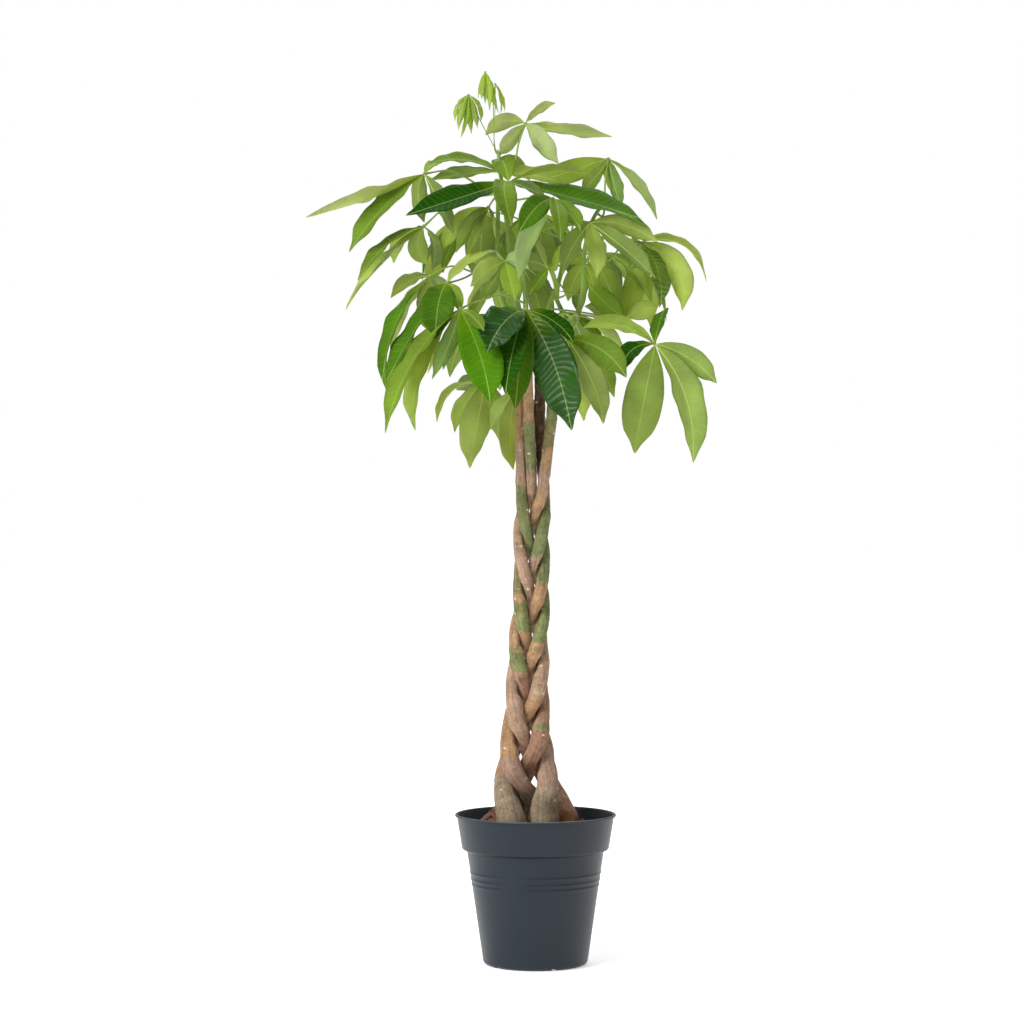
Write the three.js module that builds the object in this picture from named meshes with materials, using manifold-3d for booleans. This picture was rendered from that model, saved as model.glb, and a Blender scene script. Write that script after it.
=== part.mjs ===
// A potted money tree: five stems braided into one trunk, a leafy shoot on each stem, soil and
// a nursery pot. Millimetres, +Z up, the middle of the pot's foot at the origin, front towards -Y.
import * as THREE from 'three';
import { mergeVertices } from 'three/addons/utils/BufferGeometryUtils.js';
import Module from 'manifold-3d';

const wasm = await Module();
wasm.setup();

// ---- Driving dimensions ----

// Pot, a moulded nursery pot with a deep collar.
const RIM_RADIUS = 120;
const POT_HEIGHT = 223.5;
const FOOT_RADIUS = 78.5;
const FOOT_CORNER = 8;
const WALL = 2.4;
const FLOOR = 3;
const LIP_WIDTH = 3;
const LIP_DEPTH = 4;
const LIP_ROUNDING = 1;
const COLLAR_TOP_RADIUS = 117;
const COLLAR_FOOT_RADIUS = 109.6;
const COLLAR_FOOT_HEIGHT = 174.5;
const COLLAR_ROUNDING = 2;
const BODY_TOP_RADIUS = 101.7;
const BODY_TOP_HEIGHT = 168;
const RIB_HEIGHTS = [119, 127, 137];
const RIB_RISE = 1;
const RIB_HALF_WIDTH = 1.8;
const POT_SIDES = 28;
// Drainage channels under the foot, each with a hole through the floor.
const DRAIN_COUNT = 5;
const DRAIN_TURN = -68;
const DRAIN_WIDTH = 10;
const DRAIN_DEPTH = 2;
const DRAIN_START = 26;
const DRAIN_HOLE = 8;
const DRAIN_HOLE_PLACE = 48;
const DRAIN_HOLE_LENGTH = 20;

// Soil, a low mound inside the pot. The shoulder's rows are a radius and a height.
const GAP = 0.3;
const SOIL_EDGE_HEIGHT = 198;
const SOIL_SHOULDER = [[85, 200], [60, 206]];
const SOIL_TOP_HEIGHT = 211;

// Braided trunk. Each row is a height, the trunk's middle in X, how far the stems stand from it,
// and the diameter of a stem there.
const TRUNK = [
  [150, -1, 42, 26],
  [190, -1, 44, 34],
  [221, -1, 43, 36],
  [244, -6, 39, 34],
  [273, -11, 35, 31],
  [303, -15, 29, 28],
  [333, -13, 26, 26],
  [363, -14, 23, 24.5],
  [393, -12, 21.5, 23],
  [422, -11.5, 21, 22],
  [482, -10, 19.8, 20],
  [541, -6, 18, 19],
  [601, -6, 18, 18],
  [646, -6, 18, 17.5],
  [700, -3, 18, 16],
  [765, 0, 18, 15.5],
  [960, 0, 18, 15],
];
const STEM_COUNT = 5;
const STEM_SIDES = 8;
const STEM_FOOT = 150;
const BRAID_BOTTOM = 235;
const BRAID_TOP = 700;
const FIRST_TUCK = 692;
// A tuck is where a stem comes to the front; one follows the other down the trunk.
const TUCK_SPACING = 36.6;
const DEGREES_PER_TUCK = 36;
const RING_STEP = 15;
const STRAIGHT_STEP = 40;
// Between two stems that press on each other, and the levels near a ring that are looked at.
const STEM_GAP = 1.4;
const PRESS_LEVELS = [-9, -4.5, 0, 4.5, 9];
// Above the braid each stem runs to its own cut top.
const STEM_TOPS = [
  { bend: [-10, -12, 810], top: [-13, -17, 900] },
  { bend: [6, 14, 810], top: [8, 19, 925] },
  { bend: [24, -4, 810], top: [29, -8, 905] },
  { bend: [-14, 18, 810], top: [-17, 25, 915] },
  { bend: [-22, 2, 810], top: [-28, 1, 935] },
];

// Leaves. A blade is widest past its middle and arches over a knee.
const WIDEST_AT = 0.556;
const TIP_TAPER = 0.8;
const KNEE_SHARE = 0.46;
const THICKEST_BLADE = 1.6;
const THINNEST_BLADE = 0.4;
const THICKNESS_PER_MM = 0.012;
const BLADE_STATIONS = [0.14, 0.36, 0.6, 0.83];
const FEW_STATIONS = [0.2, 0.5, 0.82];
const BLADE_START = 0.36;
const BLADE_FOLD = 0.16;
const BLADE_WAVE = 1.4;
const STEEP = 0.15;
const HUB_RADIUS = 3.8;
const YOUNG_HUB_RADIUS = 2.4;
const YOUNG_LENGTH = 75;
const STALK_RADII = [1.7, 2.3];
const STALK_SIDES = 4;
const SHOOT_RADII = [5.2, 2.8];
const SHOOT_SIDES = 6;
const SHOOT_SPOTS = 60;

// The crown's far side, filled by a rule: leaves fan out behind the trunk, in tiers.
const BACK_LEAF = {
  count: 6,
  angles: [50, 134],
  angleDraw: 4,
  tiers: [1062, 985, 1128],
  reach: [150, 128, 112],
  heightDraw: 10,
  kneeShare: 0.55,
  kneeDrop: 8,
  blades: 5,
  length: 165,
  lengthLoss: 0.14,
  lengthDraw: 0.08,
  widthShare: 0.34,
  riseShare: 0.13,
  spread: 37,
  droop: 38,
  droopDraw: 9,
  droopGain: 6,
  roll: 10,
};
const FIRST_SEED = 7;
const SEED_FACTOR = 16807;
const SEED_LIMIT = 2147483647;

// Each leaf's shoot, hub, the points of its stalk on the way to the shoot, and its leaflets: the
// tip's place, how far the middle arches up, the width, the turn about the rib in degrees, and
// how far the middle bends to the side.
const LEAVES = [
  // The crown's top.
  {
    shoot: 'top',
    hub: [-15, 20, 1255],
    stalk: [[-25, 15, 1225], [-35, 5, 1185]],
    blades: [
      [30, 45, 1290, 4, 20, 50, 0],
      [115, 5, 1235, -4, 40, 20, 0],
      [35, -20, 1190, 4, 35, 80, 10],
      [-55, 0, 1205, 0, 25, -80, 0],
      [-75, 40, 1240, 12, 25, -70, 0],
    ],
  },
  {
    shoot: 'right',
    hub: [110, 40, 1205],
    stalk: [[105, 30, 1170], [100, 10, 1115]],
    blades: [
      [5, 70, 1175, -2, 35, -80, -5],
      [65, 0, 1150, -4, 30, -80, 0],
      [130, 20, 1125, -2, 30, 80, 0],
      [185, 55, 1115, 8, 35, 10, 0],
      [130, 120, 1150, 2, 30, -20, -5],
    ],
  },
  {
    shoot: 'top',
    hub: [-40, -40, 1160],
    stalk: [[-45, -25, 1145]],
    blades: [
      [-190, -95, 1105, 0, 50, 40, 0],
      [165, -70, 1100, 4, 60, -30, -20],
      [80, -10, 1175, 10, 40, 10, 0],
      [-55, 20, 1205, 8, 35, 20, 0],
      [20, -60, 1130, 4, 30, 30, 0],
      [-35, -120, 1085, 24, 35, 10, 10],
    ],
  },
  {
    shoot: 'top',
    hub: [-55, -5, 1180],
    stalk: [[-50, -5, 1160]],
    blades: [
      [-160, -20, 1190, 12, 35, 30, 5],
      [-160, 25, 1170, 4, 35, -20, 5],
      [-10, 60, 1175, 16, 30, 70, 0],
      [30, 30, 1170, 4, 30, 30, 0],
    ],
  },
  // The left side, from the top down.
  {
    shoot: 'left',
    hub: [-165, -20, 1175],
    stalk: [[-125, -10, 1180], [-75, 0, 1155]],
    blades: [
      [-340, -40, 1110, -8, 60, -10, -10],
      [-275, -60, 1055, 10, 55, 20, -10],
      [-165, 10, 1105, 18, 30, -30, -10],
      [-140, 30, 1200, 4, 20, -10, 0],
      [-120, -70, 1080, 2, 35, 80, 0],
    ],
  },
  {
    shoot: 'left',
    hub: [-165, -40, 1095],
    stalk: [[-125, -30, 1130], [-70, -5, 1145]],
    blades: [
      [-260, -80, 1010, 14, 40, 10, 0],
      [-285, -20, 975, 8, 55, 20, 10],
      [-160, -20, 1040, -8, 30, 20, -10],
      [-155, 15, 1035, 4, 30, -40, 10],
      [-215, 60, 1050, 10, 35, 20, -5],
    ],
  },
  {
    shoot: 'left',
    hub: [-70, -20, 1125],
    stalk: [[-60, -10, 1140]],
    blades: [
      [-120, -60, 1055, 8, 30, -80, -10],
      [-140, -10, 1060, 12, 30, 70, 0],
      [-60, -60, 1075, 4, 20, 80, 0],
      [-100, -75, 1050, -2, 30, -80, 0],
    ],
  },
  {
    shoot: 'left',
    hub: [-155, -60, 1020],
    stalk: [[-125, -50, 1035], [-80, -20, 1025]],
    blades: [
      [-215, -30, 990, 10, 30, -20, 5],
      [-225, -90, 850, 20, 55, 0, 0],
      [-215, -45, 910, 10, 40, -10, 5],
      [-155, -40, 935, 2, 30, 60, -10],
      [-130, -40, 990, 4, 20, 50, 0],
    ],
  },
  // The front, left of the trunk.
  {
    shoot: 'front',
    hub: [-130, -105, 1005],
    stalk: [[-105, -80, 1015], [-65, -40, 1040]],
    blades: [
      [-220, -135, 855, 4, 55, 10, 0],
      [-145, -160, 920, 16, 50, 10, 0],
      [-110, -140, 960, 8, 20, -30, 0],
      [-55, -60, 1060, 6, 35, -10, -5],
      [-170, -60, 950, -2, 30, 0, -10],
    ],
  },
  {
    shoot: 'front',
    hub: [-110, -150, 965],
    stalk: [[-80, -120, 980], [-45, -80, 990], [-15, -45, 980]],
    blades: [
      [-65, -200, 830, 4, 60, -30, -5],
      [-215, -185, 785, 20, 60, 10, 0],
      [-180, -150, 790, 20, 60, 30, 0],
      [-75, -190, 930, 2, 20, -40, -5],
      [-150, -120, 865, 0, 35, 0, 5],
    ],
  },
  // Low leaves that hang behind the trunk.
  {
    shoot: 'back',
    hub: [-75, 60, 870],
    stalk: [[-50, 60, 895], [-20, 60, 940], [10, 45, 970]],
    blades: [
      [-100, 50, 740, 8, 50, -80, -20],
      [-125, 80, 795, 8, 30, -30, 0],
      [-150, 95, 810, 20, 30, 0, -10],
      [-55, 110, 785, 2, 35, 20, 5],
      [-120, 120, 860, 4, 30, -50, 0],
    ],
  },
  {
    shoot: 'back',
    hub: [-30, 35, 855],
    stalk: [[-25, 45, 895], [0, 50, 940]],
    blades: [
      [-35, 30, 735, 8, 35, -10, 0],
      [15, 95, 785, 6, 30, 30, 0],
      [-70, 100, 800, 4, 30, -20, 0],
    ],
  },
  // The front, over the trunk.
  {
    shoot: 'front',
    hub: [-15, -130, 965],
    stalk: [[-15, -90, 980], [-20, -45, 1010]],
    blades: [
      [-70, -190, 900, 4, 60, 40, 0],
      [-45, -195, 840, 20, 45, 0, 0],
      [-30, -150, 820, 8, 45, 20, -5],
      [50, -165, 790, 12, 65, -80, 0],
      [55, -150, 915, 8, 30, -40, -10],
    ],
  },
  // The right side, from the bottom up.
  {
    shoot: 'right',
    hub: [45, -110, 925],
    stalk: [[40, -80, 945], [60, -40, 965]],
    blades: [
      [130, -150, 865, 12, 40, -70, -10],
      [100, -130, 800, 8, 40, 80, 0],
      [70, -90, 805, 4, 35, 20, 0],
      [115, -85, 840, 16, 35, 40, -10],
      [40, -60, 865, 14, 30, 0, -5],
    ],
  },
  {
    shoot: 'right',
    hub: [175, -60, 920],
    stalk: [[140, -50, 945], [95, -30, 960], [75, -15, 965]],
    blades: [
      [145, -40, 760, 0, 60, -50, 0],
      [230, -80, 745, 20, 60, 60, 0],
      [265, -95, 860, 8, 35, 80, -5],
      [125, -115, 875, 12, 30, 30, 10],
      [70, -20, 950, 14, 35, -40, 0],
      [195, 20, 980, 6, 30, 80, 0],
    ],
  },
  {
    shoot: 'back',
    hub: [135, 40, 965],
    stalk: [[105, 30, 965], [80, 15, 970]],
    blades: [
      [80, 40, 1015, -4, 35, 80, -10],
      [75, 75, 985, 4, 30, -70, 5],
      [185, 35, 980, 4, 30, 80, -5],
      [95, 70, 1050, 2, 40, -80, -5],
      [155, 80, 1055, -10, 35, -20, 0],
    ],
  },
  {
    shoot: 'right',
    hub: [80, -40, 1100],
    stalk: [[60, -25, 1105], [55, -10, 1090]],
    blades: [
      [-5, -70, 1080, 4, 30, 20, 0],
      [35, -75, 1020, 8, 35, -80, -5],
      [180, -55, 1070, 10, 30, 70, 5],
      [175, -80, 1015, 4, 40, 50, 0],
      [90, -120, 1015, 4, 35, 20, 0],
    ],
  },
  {
    shoot: 'right',
    hub: [155, 0, 1075],
    stalk: [[135, 0, 1075], [105, -5, 1045]],
    blades: [
      [255, -30, 1015, 28, 35, 20, 0],
      [220, -25, 970, 24, 40, 80, -5],
      [185, -60, 975, 12, 35, 10, -5],
      [145, 55, 1075, 4, 20, -60, 0],
      [140, 45, 1040, -6, 25, -30, 5],
    ],
  },
  // The crown's middle.
  {
    shoot: 'top',
    hub: [25, -90, 1130],
    stalk: [[0, -60, 1135], [-35, -20, 1135]],
    blades: [
      [-25, -150, 1075, 12, 35, 50, -5],
      [-30, -150, 1005, 8, 45, -80, 0],
      [65, -140, 1080, 4, 30, -20, 0],
      [35, -165, 1060, 16, 30, 20, 0],
    ],
  },
  {
    shoot: 'back',
    hub: [20, -5, 1035],
    stalk: [[30, -5, 1020], [45, 0, 1000]],
    stations: FEW_STATIONS,
    blades: [
      [-10, -10, 995, 2, 20, 80, -5],
      [35, -60, 975, 2, 30, 80, 0],
      [0, 40, 1080, 4, 30, -80, -5],
      [45, 45, 1080, -8, 30, 80, 0],
      [-25, 30, 1050, 4, 30, -80, 5],
    ],
  },
  {
    shoot: 'back',
    hub: [75, 60, 1050],
    stalk: [[70, 45, 1030], [70, 20, 1000]],
    stations: FEW_STATIONS,
    blades: [
      [45, 70, 1060, 2, 20, -80, 0],
      [50, 100, 995, 6, 30, -20, 0],
      [95, 105, 995, 6, 30, -10, 0],
      [105, 90, 1095, 0, 20, 80, 5],
    ],
  },
  {
    shoot: 'front',
    hub: [-45, -70, 1040],
    stalk: [[-50, -45, 1020], [-55, -25, 1000]],
    blades: [
      [-95, -110, 1000, 6, 35, -80, -5],
      [-80, -95, 980, 0, 35, -80, 0],
      [-10, -115, 1025, 8, 25, 80, 5],
      [-30, -130, 980, 0, 30, -10, 0],
      [-90, -45, 1040, 8, 20, -70, 0],
    ],
  },
  // Three young leaves on long stalks.
  {
    shoot: 'top',
    hub: [-100, 0, 1295],
    stalk: [[-85, 0, 1260], [-70, 0, 1210]],
    blades: [
      [-120, -5, 1255, 4, 15, 30, 0],
      [-110, -10, 1230, 4, 20, -10, -5],
      [-95, -15, 1235, 2, 20, 30, 0],
      [-80, -5, 1255, 4, 15, -30, 0],
    ],
  },
  {
    shoot: 'top',
    hub: [-75, 5, 1330],
    stalk: [[-65, 5, 1300], [-60, 0, 1215]],
    blades: [
      [-85, 0, 1290, 4, 10, 0, 0],
      [-75, -10, 1280, 4, 15, -40, 0],
      [-70, -10, 1270, 8, 20, -70, 0],
      [-60, 5, 1275, 4, 20, -40, -5],
    ],
  },
  {
    shoot: 'top',
    hub: [-60, -10, 1310],
    stalk: [[-60, -10, 1285], [-60, -5, 1210]],
    blades: [
      [-55, -20, 1265, -4, 15, 40, 0],
      [-50, -10, 1265, 4, 15, -10, 0],
      [-45, -5, 1270, 4, 15, -50, 0],
    ],
  },
];

// The green shoot on each stem's cut top, from 0.3 above the cut.
const SHOOTS = {
  front: [[-13, -17, 900.3], [-13, -17, 915], [-14, -28, 955], [-16, -38, 1000], [-22, -42, 1045]],
  left: [
    [-28, 1, 935.3], [-28, 1, 946], [-48, -6, 985],
    [-57, -12, 1030], [-56, -12, 1090], [-56, -8, 1150],
  ],
  top: [
    [-17, 25, 915.3], [-17, 25, 928], [-26, 20, 980], [-36, 12, 1040],
    [-42, 4, 1100], [-49, -2, 1150], [-55, -2, 1205],
  ],
  right: [
    [29, -8, 905.3], [29, -8, 916], [58, -4, 955], [70, 2, 1000],
    [73, 6, 1060], [86, 10, 1110], [98, 12, 1130],
  ],
  back: [[8, 19, 925.3], [8, 19, 936], [20, 40, 980], [38, 56, 1030], [46, 64, 1085]],
};

// ---- Tools for closed solids ----

const vector = (point) => new THREE.Vector3(...point);
const radians = THREE.MathUtils.degToRad;
const { lerp, mapLinear, clamp } = THREE.MathUtils;

// A closed mesh as a solid, with its faces turned outwards.
function solidFrom(points, faces) {
  let volume = 0;
  const edge = new THREE.Vector3();
  for (const [a, b, c] of faces) {
    volume += points[a].dot(edge.crossVectors(points[b], points[c]));
  }
  const turned = volume < 0 ? faces.map(([a, b, c]) => [a, c, b]) : faces;
  return new wasm.Manifold(new wasm.Mesh({
    numProp: 3,
    vertProperties: new Float32Array(points.flatMap((point) => point.toArray())),
    triVerts: new Uint32Array(turned.flat()),
  }));
}

function solidFromGeometry(geometry) {
  geometry.deleteAttribute('normal');
  geometry.deleteAttribute('uv');
  const merged = mergeVertices(geometry, 1e-3);
  const places = merged.getAttribute('position');
  const points = [];
  for (let i = 0; i < places.count; i += 1) {
    points.push(new THREE.Vector3().fromBufferAttribute(places, i));
  }
  const faces = [];
  for (let i = 0; i < merged.index.count; i += 3) {
    const face = [0, 1, 2].map((k) => merged.index.getX(i + k));
    if (new Set(face).size === 3) {
      faces.push(face);
    }
  }
  return solidFrom(points, faces);
}

// A skin over rings of points, closed on one point at each end. Each quad is split from its even
// corner, so that the two sides of a thin waved blade are split alike and don't cross.
function loft(rings, first, last) {
  const sides = rings[0].length;
  const points = [first, ...rings.flat(), last];
  const at = (ring, k) => 1 + ring * sides + (k % sides);
  const faces = [];
  for (let k = 0; k < sides; k += 1) {
    faces.push([0, at(0, k + 1), at(0, k)]);
    faces.push([points.length - 1, at(rings.length - 1, k), at(rings.length - 1, k + 1)]);
    for (let ring = 0; ring + 1 < rings.length; ring += 1) {
      const corners = [at(ring, k), at(ring, k + 1), at(ring + 1, k + 1), at(ring + 1, k)];
      const [a, b, c, d] = k % 2 === 0 ? corners : [...corners.slice(1), corners[0]];
      faces.push([a, b, c], [a, c, d]);
    }
  }
  return solidFrom(points, faces);
}

// A round rod along a smooth curve, from one radius to another.
function rod(curve, [startRadius, endRadius], sides, steps) {
  const frames = curve.computeFrenetFrames(steps, false);
  const rings = [];
  for (let i = 0; i <= steps; i += 1) {
    const middle = curve.getPointAt(i / steps);
    const radius = lerp(startRadius, endRadius, i / steps);
    rings.push(Array.from({ length: sides }, (_, k) => {
      const angle = (2 * Math.PI * k) / sides;
      return middle.clone()
        .addScaledVector(frames.normals[i], radius * Math.cos(angle))
        .addScaledVector(frames.binormals[i], radius * Math.sin(angle));
    }));
  }
  return loft(rings, curve.getPointAt(0), curve.getPointAt(1));
}

const smoothCurve = (route) => new THREE.CatmullRomCurve3(route, false, 'centripetal');

function block(width, depth, height, place, turn) {
  const geometry = new THREE.BoxGeometry(width, depth, height).translate(place, 0, 0);
  return solidFromGeometry(geometry.rotateZ(radians(turn)));
}

function meshOf(name, solid, material) {
  const { vertProperties, triVerts } = solid.getMesh();
  const geometry = new THREE.BufferGeometry();
  geometry.setAttribute('position', new THREE.BufferAttribute(vertProperties, 3));
  geometry.setIndex(new THREE.BufferAttribute(triVerts, 1));
  geometry.computeVertexNormals();
  const mesh = new THREE.Mesh(geometry, material);
  mesh.name = name;
  return mesh;
}

// ---- Pot and soil ----

const bodyRadiusAt = (z) => mapLinear(
  z, FOOT_CORNER, BODY_TOP_HEIGHT, FOOT_RADIUS, BODY_TOP_RADIUS,
);

const collarRadiusAt = (z) => mapLinear(
  z, COLLAR_FOOT_HEIGHT, POT_HEIGHT - LIP_DEPTH, COLLAR_FOOT_RADIUS, COLLAR_TOP_RADIUS,
);

function lathe(profile) {
  const closed = [...profile, profile[0]].map(([radius, z]) => new THREE.Vector2(radius, z));
  return solidFromGeometry(new THREE.LatheGeometry(closed, POT_SIDES).rotateX(Math.PI / 2));
}

function makePot() {
  const ribs = RIB_HEIGHTS.flatMap((z) => [
    [bodyRadiusAt(z - RIB_HALF_WIDTH), z - RIB_HALF_WIDTH],
    [bodyRadiusAt(z) + RIB_RISE, z],
    [bodyRadiusAt(z + RIB_HALF_WIDTH), z + RIB_HALF_WIDTH],
  ]);
  const outside = [
    [0, 0],
    [FOOT_RADIUS - FOOT_CORNER, 0],
    [FOOT_RADIUS - 0.3 * FOOT_CORNER, 0.3 * FOOT_CORNER],
    [FOOT_RADIUS, FOOT_CORNER],
    ...ribs,
    [BODY_TOP_RADIUS, BODY_TOP_HEIGHT],
    [COLLAR_FOOT_RADIUS - COLLAR_ROUNDING, BODY_TOP_HEIGHT + COLLAR_ROUNDING],
    [COLLAR_FOOT_RADIUS, COLLAR_FOOT_HEIGHT],
    [COLLAR_TOP_RADIUS, POT_HEIGHT - LIP_DEPTH],
    [RIM_RADIUS, POT_HEIGHT - LIP_DEPTH + LIP_ROUNDING],
    [RIM_RADIUS, POT_HEIGHT - LIP_ROUNDING],
    [RIM_RADIUS - LIP_ROUNDING, POT_HEIGHT],
  ];
  const inside = [
    [RIM_RADIUS - LIP_WIDTH - LIP_ROUNDING, POT_HEIGHT],
    [COLLAR_TOP_RADIUS - WALL, POT_HEIGHT - LIP_DEPTH],
    [COLLAR_FOOT_RADIUS - WALL, COLLAR_FOOT_HEIGHT],
    [BODY_TOP_RADIUS - WALL, BODY_TOP_HEIGHT],
    [FOOT_RADIUS - WALL, FOOT_CORNER + FLOOR],
    [FOOT_RADIUS - FOOT_CORNER, FLOOR],
    [0, FLOOR],
  ];
  let pot = lathe([...outside, ...inside]);
  const length = FOOT_RADIUS + FOOT_CORNER - DRAIN_START;
  for (let i = 0; i < DRAIN_COUNT; i += 1) {
    const turn = DRAIN_TURN + (360 * i) / DRAIN_COUNT;
    pot = pot
      .subtract(block(length, DRAIN_WIDTH, 2 * DRAIN_DEPTH, DRAIN_START + length / 2, turn))
      .subtract(block(DRAIN_HOLE, DRAIN_HOLE, DRAIN_HOLE_LENGTH, DRAIN_HOLE_PLACE, turn));
  }
  return pot;
}

function makeSoil(holes) {
  const mound = lathe([
    [0, FLOOR + GAP],
    [FOOT_RADIUS - FOOT_CORNER - GAP, FLOOR + GAP],
    [FOOT_RADIUS - WALL - GAP, FOOT_CORNER + FLOOR],
    [BODY_TOP_RADIUS - WALL - GAP, BODY_TOP_HEIGHT],
    [COLLAR_FOOT_RADIUS - WALL - GAP, COLLAR_FOOT_HEIGHT + GAP],
    [collarRadiusAt(SOIL_EDGE_HEIGHT) - WALL - GAP, SOIL_EDGE_HEIGHT],
    ...SOIL_SHOULDER,
    [0, SOIL_TOP_HEIGHT],
  ]);
  return holes.reduce((soil, hole) => soil.subtract(hole), mound);
}

// ---- Braided stems ----

function trunkAt(z) {
  const next = Math.max(1, TRUNK.findIndex((row) => row[0] >= z));
  const [low, high] = [TRUNK[next - 1], TRUNK[next]];
  const share = (z - low[0]) / (high[0] - low[0]);
  return low.map((value, i) => lerp(value, high[i], share));
}

// A stem weaves round the trunk on a figure of eight: outer edge, front, middle, behind, edge.
function braidPoint(stem, z) {
  const tucks = (FIRST_TUCK - clamp(z, BRAID_BOTTOM, BRAID_TOP)) / TUCK_SPACING;
  const angle = radians(270 + (360 / STEM_COUNT) * stem + DEGREES_PER_TUCK * tucks);
  const [, middle, reach] = trunkAt(z);
  return new THREE.Vector3(
    middle + reach * Math.cos(angle), -reach * Math.sin(2 * angle), z,
  );
}

function stemPoint(stem, z) {
  const { bend, top } = STEM_TOPS[stem];
  if (z <= BRAID_TOP) {
    return braidPoint(stem, z);
  }
  if (z <= bend[2]) {
    const start = braidPoint(stem, BRAID_TOP);
    const share = (z - BRAID_TOP) / (bend[2] - BRAID_TOP);
    return start.lerp(vector(bend), share).setZ(z);
  }
  return vector(bend).lerp(vector(top), (z - bend[2]) / (top[2] - bend[2])).setZ(z);
}

// Stems that press on each other are flattened where they meet.
function stemRing(stem, z, grown) {
  const own = stemPoint(stem, z);
  const radius = trunkAt(z)[3] / 2;
  const others = STEM_TOPS.map((_, k) => k).filter((k) => k !== stem);
  const levels = PRESS_LEVELS.map((offset) => z + offset);
  const walls = others.flatMap((k) => levels.map((level) => {
    const away = stemPoint(k, level).sub(stemPoint(stem, level)).setZ(0);
    return { reach: away.length() / 2 - STEM_GAP / 2, way: away.normalize() };
  }));
  return Array.from({ length: STEM_SIDES }, (_, k) => {
    const angle = (2 * Math.PI * k) / STEM_SIDES;
    const ray = new THREE.Vector3(Math.cos(angle), Math.sin(angle), 0);
    const facing = walls.filter(({ way }) => ray.dot(way) > 0);
    const limits = facing.map(({ reach, way }) => reach / ray.dot(way));
    return own.clone().addScaledVector(ray, Math.min(radius, ...limits) + grown);
  });
}

function makeStem(stem) {
  const [, , top] = STEM_TOPS[stem].top;
  const heights = [];
  for (let z = STEM_FOOT; z < top; z += z < BRAID_TOP ? RING_STEP : STRAIGHT_STEP) {
    heights.push(z);
  }
  heights.push(top);
  const rings = heights.map((z) => stemRing(stem, z, 0));
  return loft(rings, stemPoint(stem, STEM_FOOT), stemPoint(stem, top));
}

// The plain hole that a stem stands in: its foot, grown all round, up to over the soil.
function makeHole(stem) {
  const steps = Math.ceil((SOIL_TOP_HEIGHT - STEM_FOOT) / RING_STEP);
  const rings = Array.from(
    { length: steps + 1 }, (_, i) => stemRing(stem, STEM_FOOT + i * RING_STEP, GAP),
  );
  rings[0].forEach((point) => point.setZ(STEM_FOOT - GAP));
  const foot = stemPoint(stem, STEM_FOOT).setZ(STEM_FOOT - GAP);
  return loft(rings, foot, stemPoint(stem, STEM_FOOT + steps * RING_STEP));
}

// ---- Leaves ----

// How wide a blade is along its length, as a share of its full width.
function bladeShare(along) {
  return (along / WIDEST_AT) * ((1 - along) / (1 - WIDEST_AT)) ** TIP_TAPER;
}

// One leaflet: it arches from the hub to its tip in its own upright plane, folded along the rib.
function makeBlade(hub, [x, y, z, rise, width, roll, sway], stations, start) {
  const tip = new THREE.Vector3(x, y, z);
  const way = tip.clone().sub(hub);
  const length = way.length();
  way.normalize();
  const outward = new THREE.Vector3(way.x, way.y, 0);
  if (outward.length() < STEEP) {
    outward.set(hub.x, hub.y, 0);
  }
  outward.normalize();
  const up = new THREE.Vector3(0, 0, 1);
  const bow = outward.clone().multiplyScalar(-way.z).addScaledVector(up, way.dot(outward));
  bow.addScaledVector(way, -bow.dot(way)).normalize();
  const across = new THREE.Vector3().crossVectors(way, bow);
  const knee = hub.clone().lerp(tip, KNEE_SHARE)
    .addScaledVector(bow, 2 * rise).addScaledVector(across, 2 * sway);
  const base = hub.clone().lerp(knee, start / hub.distanceTo(knee));
  const curve = new THREE.QuadraticBezierCurve3(base, knee, tip);
  const turn = radians(roll);
  const thickness = Math.min(THICKEST_BLADE, THINNEST_BLADE + THICKNESS_PER_MM * length);
  const rings = stations.map((along, i) => {
    const middle = curve.getPoint(along);
    const tangent = curve.getTangent(along);
    const upright = new THREE.Vector3().crossVectors(across, tangent).normalize();
    const level = new THREE.Vector3().crossVectors(tangent, upright);
    const side = level.clone().multiplyScalar(Math.cos(turn))
      .addScaledVector(upright, Math.sin(turn));
    const normal = upright.multiplyScalar(Math.cos(turn))
      .addScaledVector(level, -Math.sin(turn));
    const half = (width / 2) * bladeShare(along);
    const wave = BLADE_WAVE * (i % 2 === 0 ? 1 : -1);
    const edge = (hand) => middle.clone().addScaledVector(side, hand * half)
      .addScaledVector(normal, BLADE_FOLD * half + hand * wave);
    return [
      edge(1),
      middle.clone().addScaledVector(normal, thickness / 2),
      edge(-1),
      middle.clone().addScaledVector(normal, -thickness / 2),
    ];
  });
  return loft(rings, base, tip);
}

function nearestOn(curve, place) {
  const spots = curve.getSpacedPoints(SHOOT_SPOTS);
  return spots.reduce((best, spot) => (
    spot.distanceTo(place) < best.distanceTo(place) ? spot : best
  ));
}

// A palmate leaf: leaflets from one hub on a stalk that sinks into its shoot.
function leafPieces({ hub, stalk, blades, stations = BLADE_STATIONS }, shootCurve) {
  const middle = vector(hub);
  const route = [middle, ...stalk.map(vector)];
  route.push(nearestOn(shootCurve, route[route.length - 1]));
  const longest = Math.max(...blades.map(([x, y, z]) => middle.distanceTo(vector([x, y, z]))));
  const hubRadius = longest < YOUNG_LENGTH ? YOUNG_HUB_RADIUS : HUB_RADIUS;
  const start = BLADE_START * hubRadius;
  const pieces = blades.map((blade) => makeBlade(middle, blade, stations, start));
  pieces.push(solidFromGeometry(
    new THREE.OctahedronGeometry(hubRadius).translate(middle.x, middle.y, middle.z),
  ));
  pieces.push(rod(smoothCurve(route), STALK_RADII, STALK_SIDES, route.length));
  return pieces;
}

// A seeded draw from -1 to 1, the same on every run.
let seed = FIRST_SEED;
function draw() {
  seed = (seed * SEED_FACTOR) % SEED_LIMIT;
  return (2 * seed) / SEED_LIMIT - 1;
}

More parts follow.
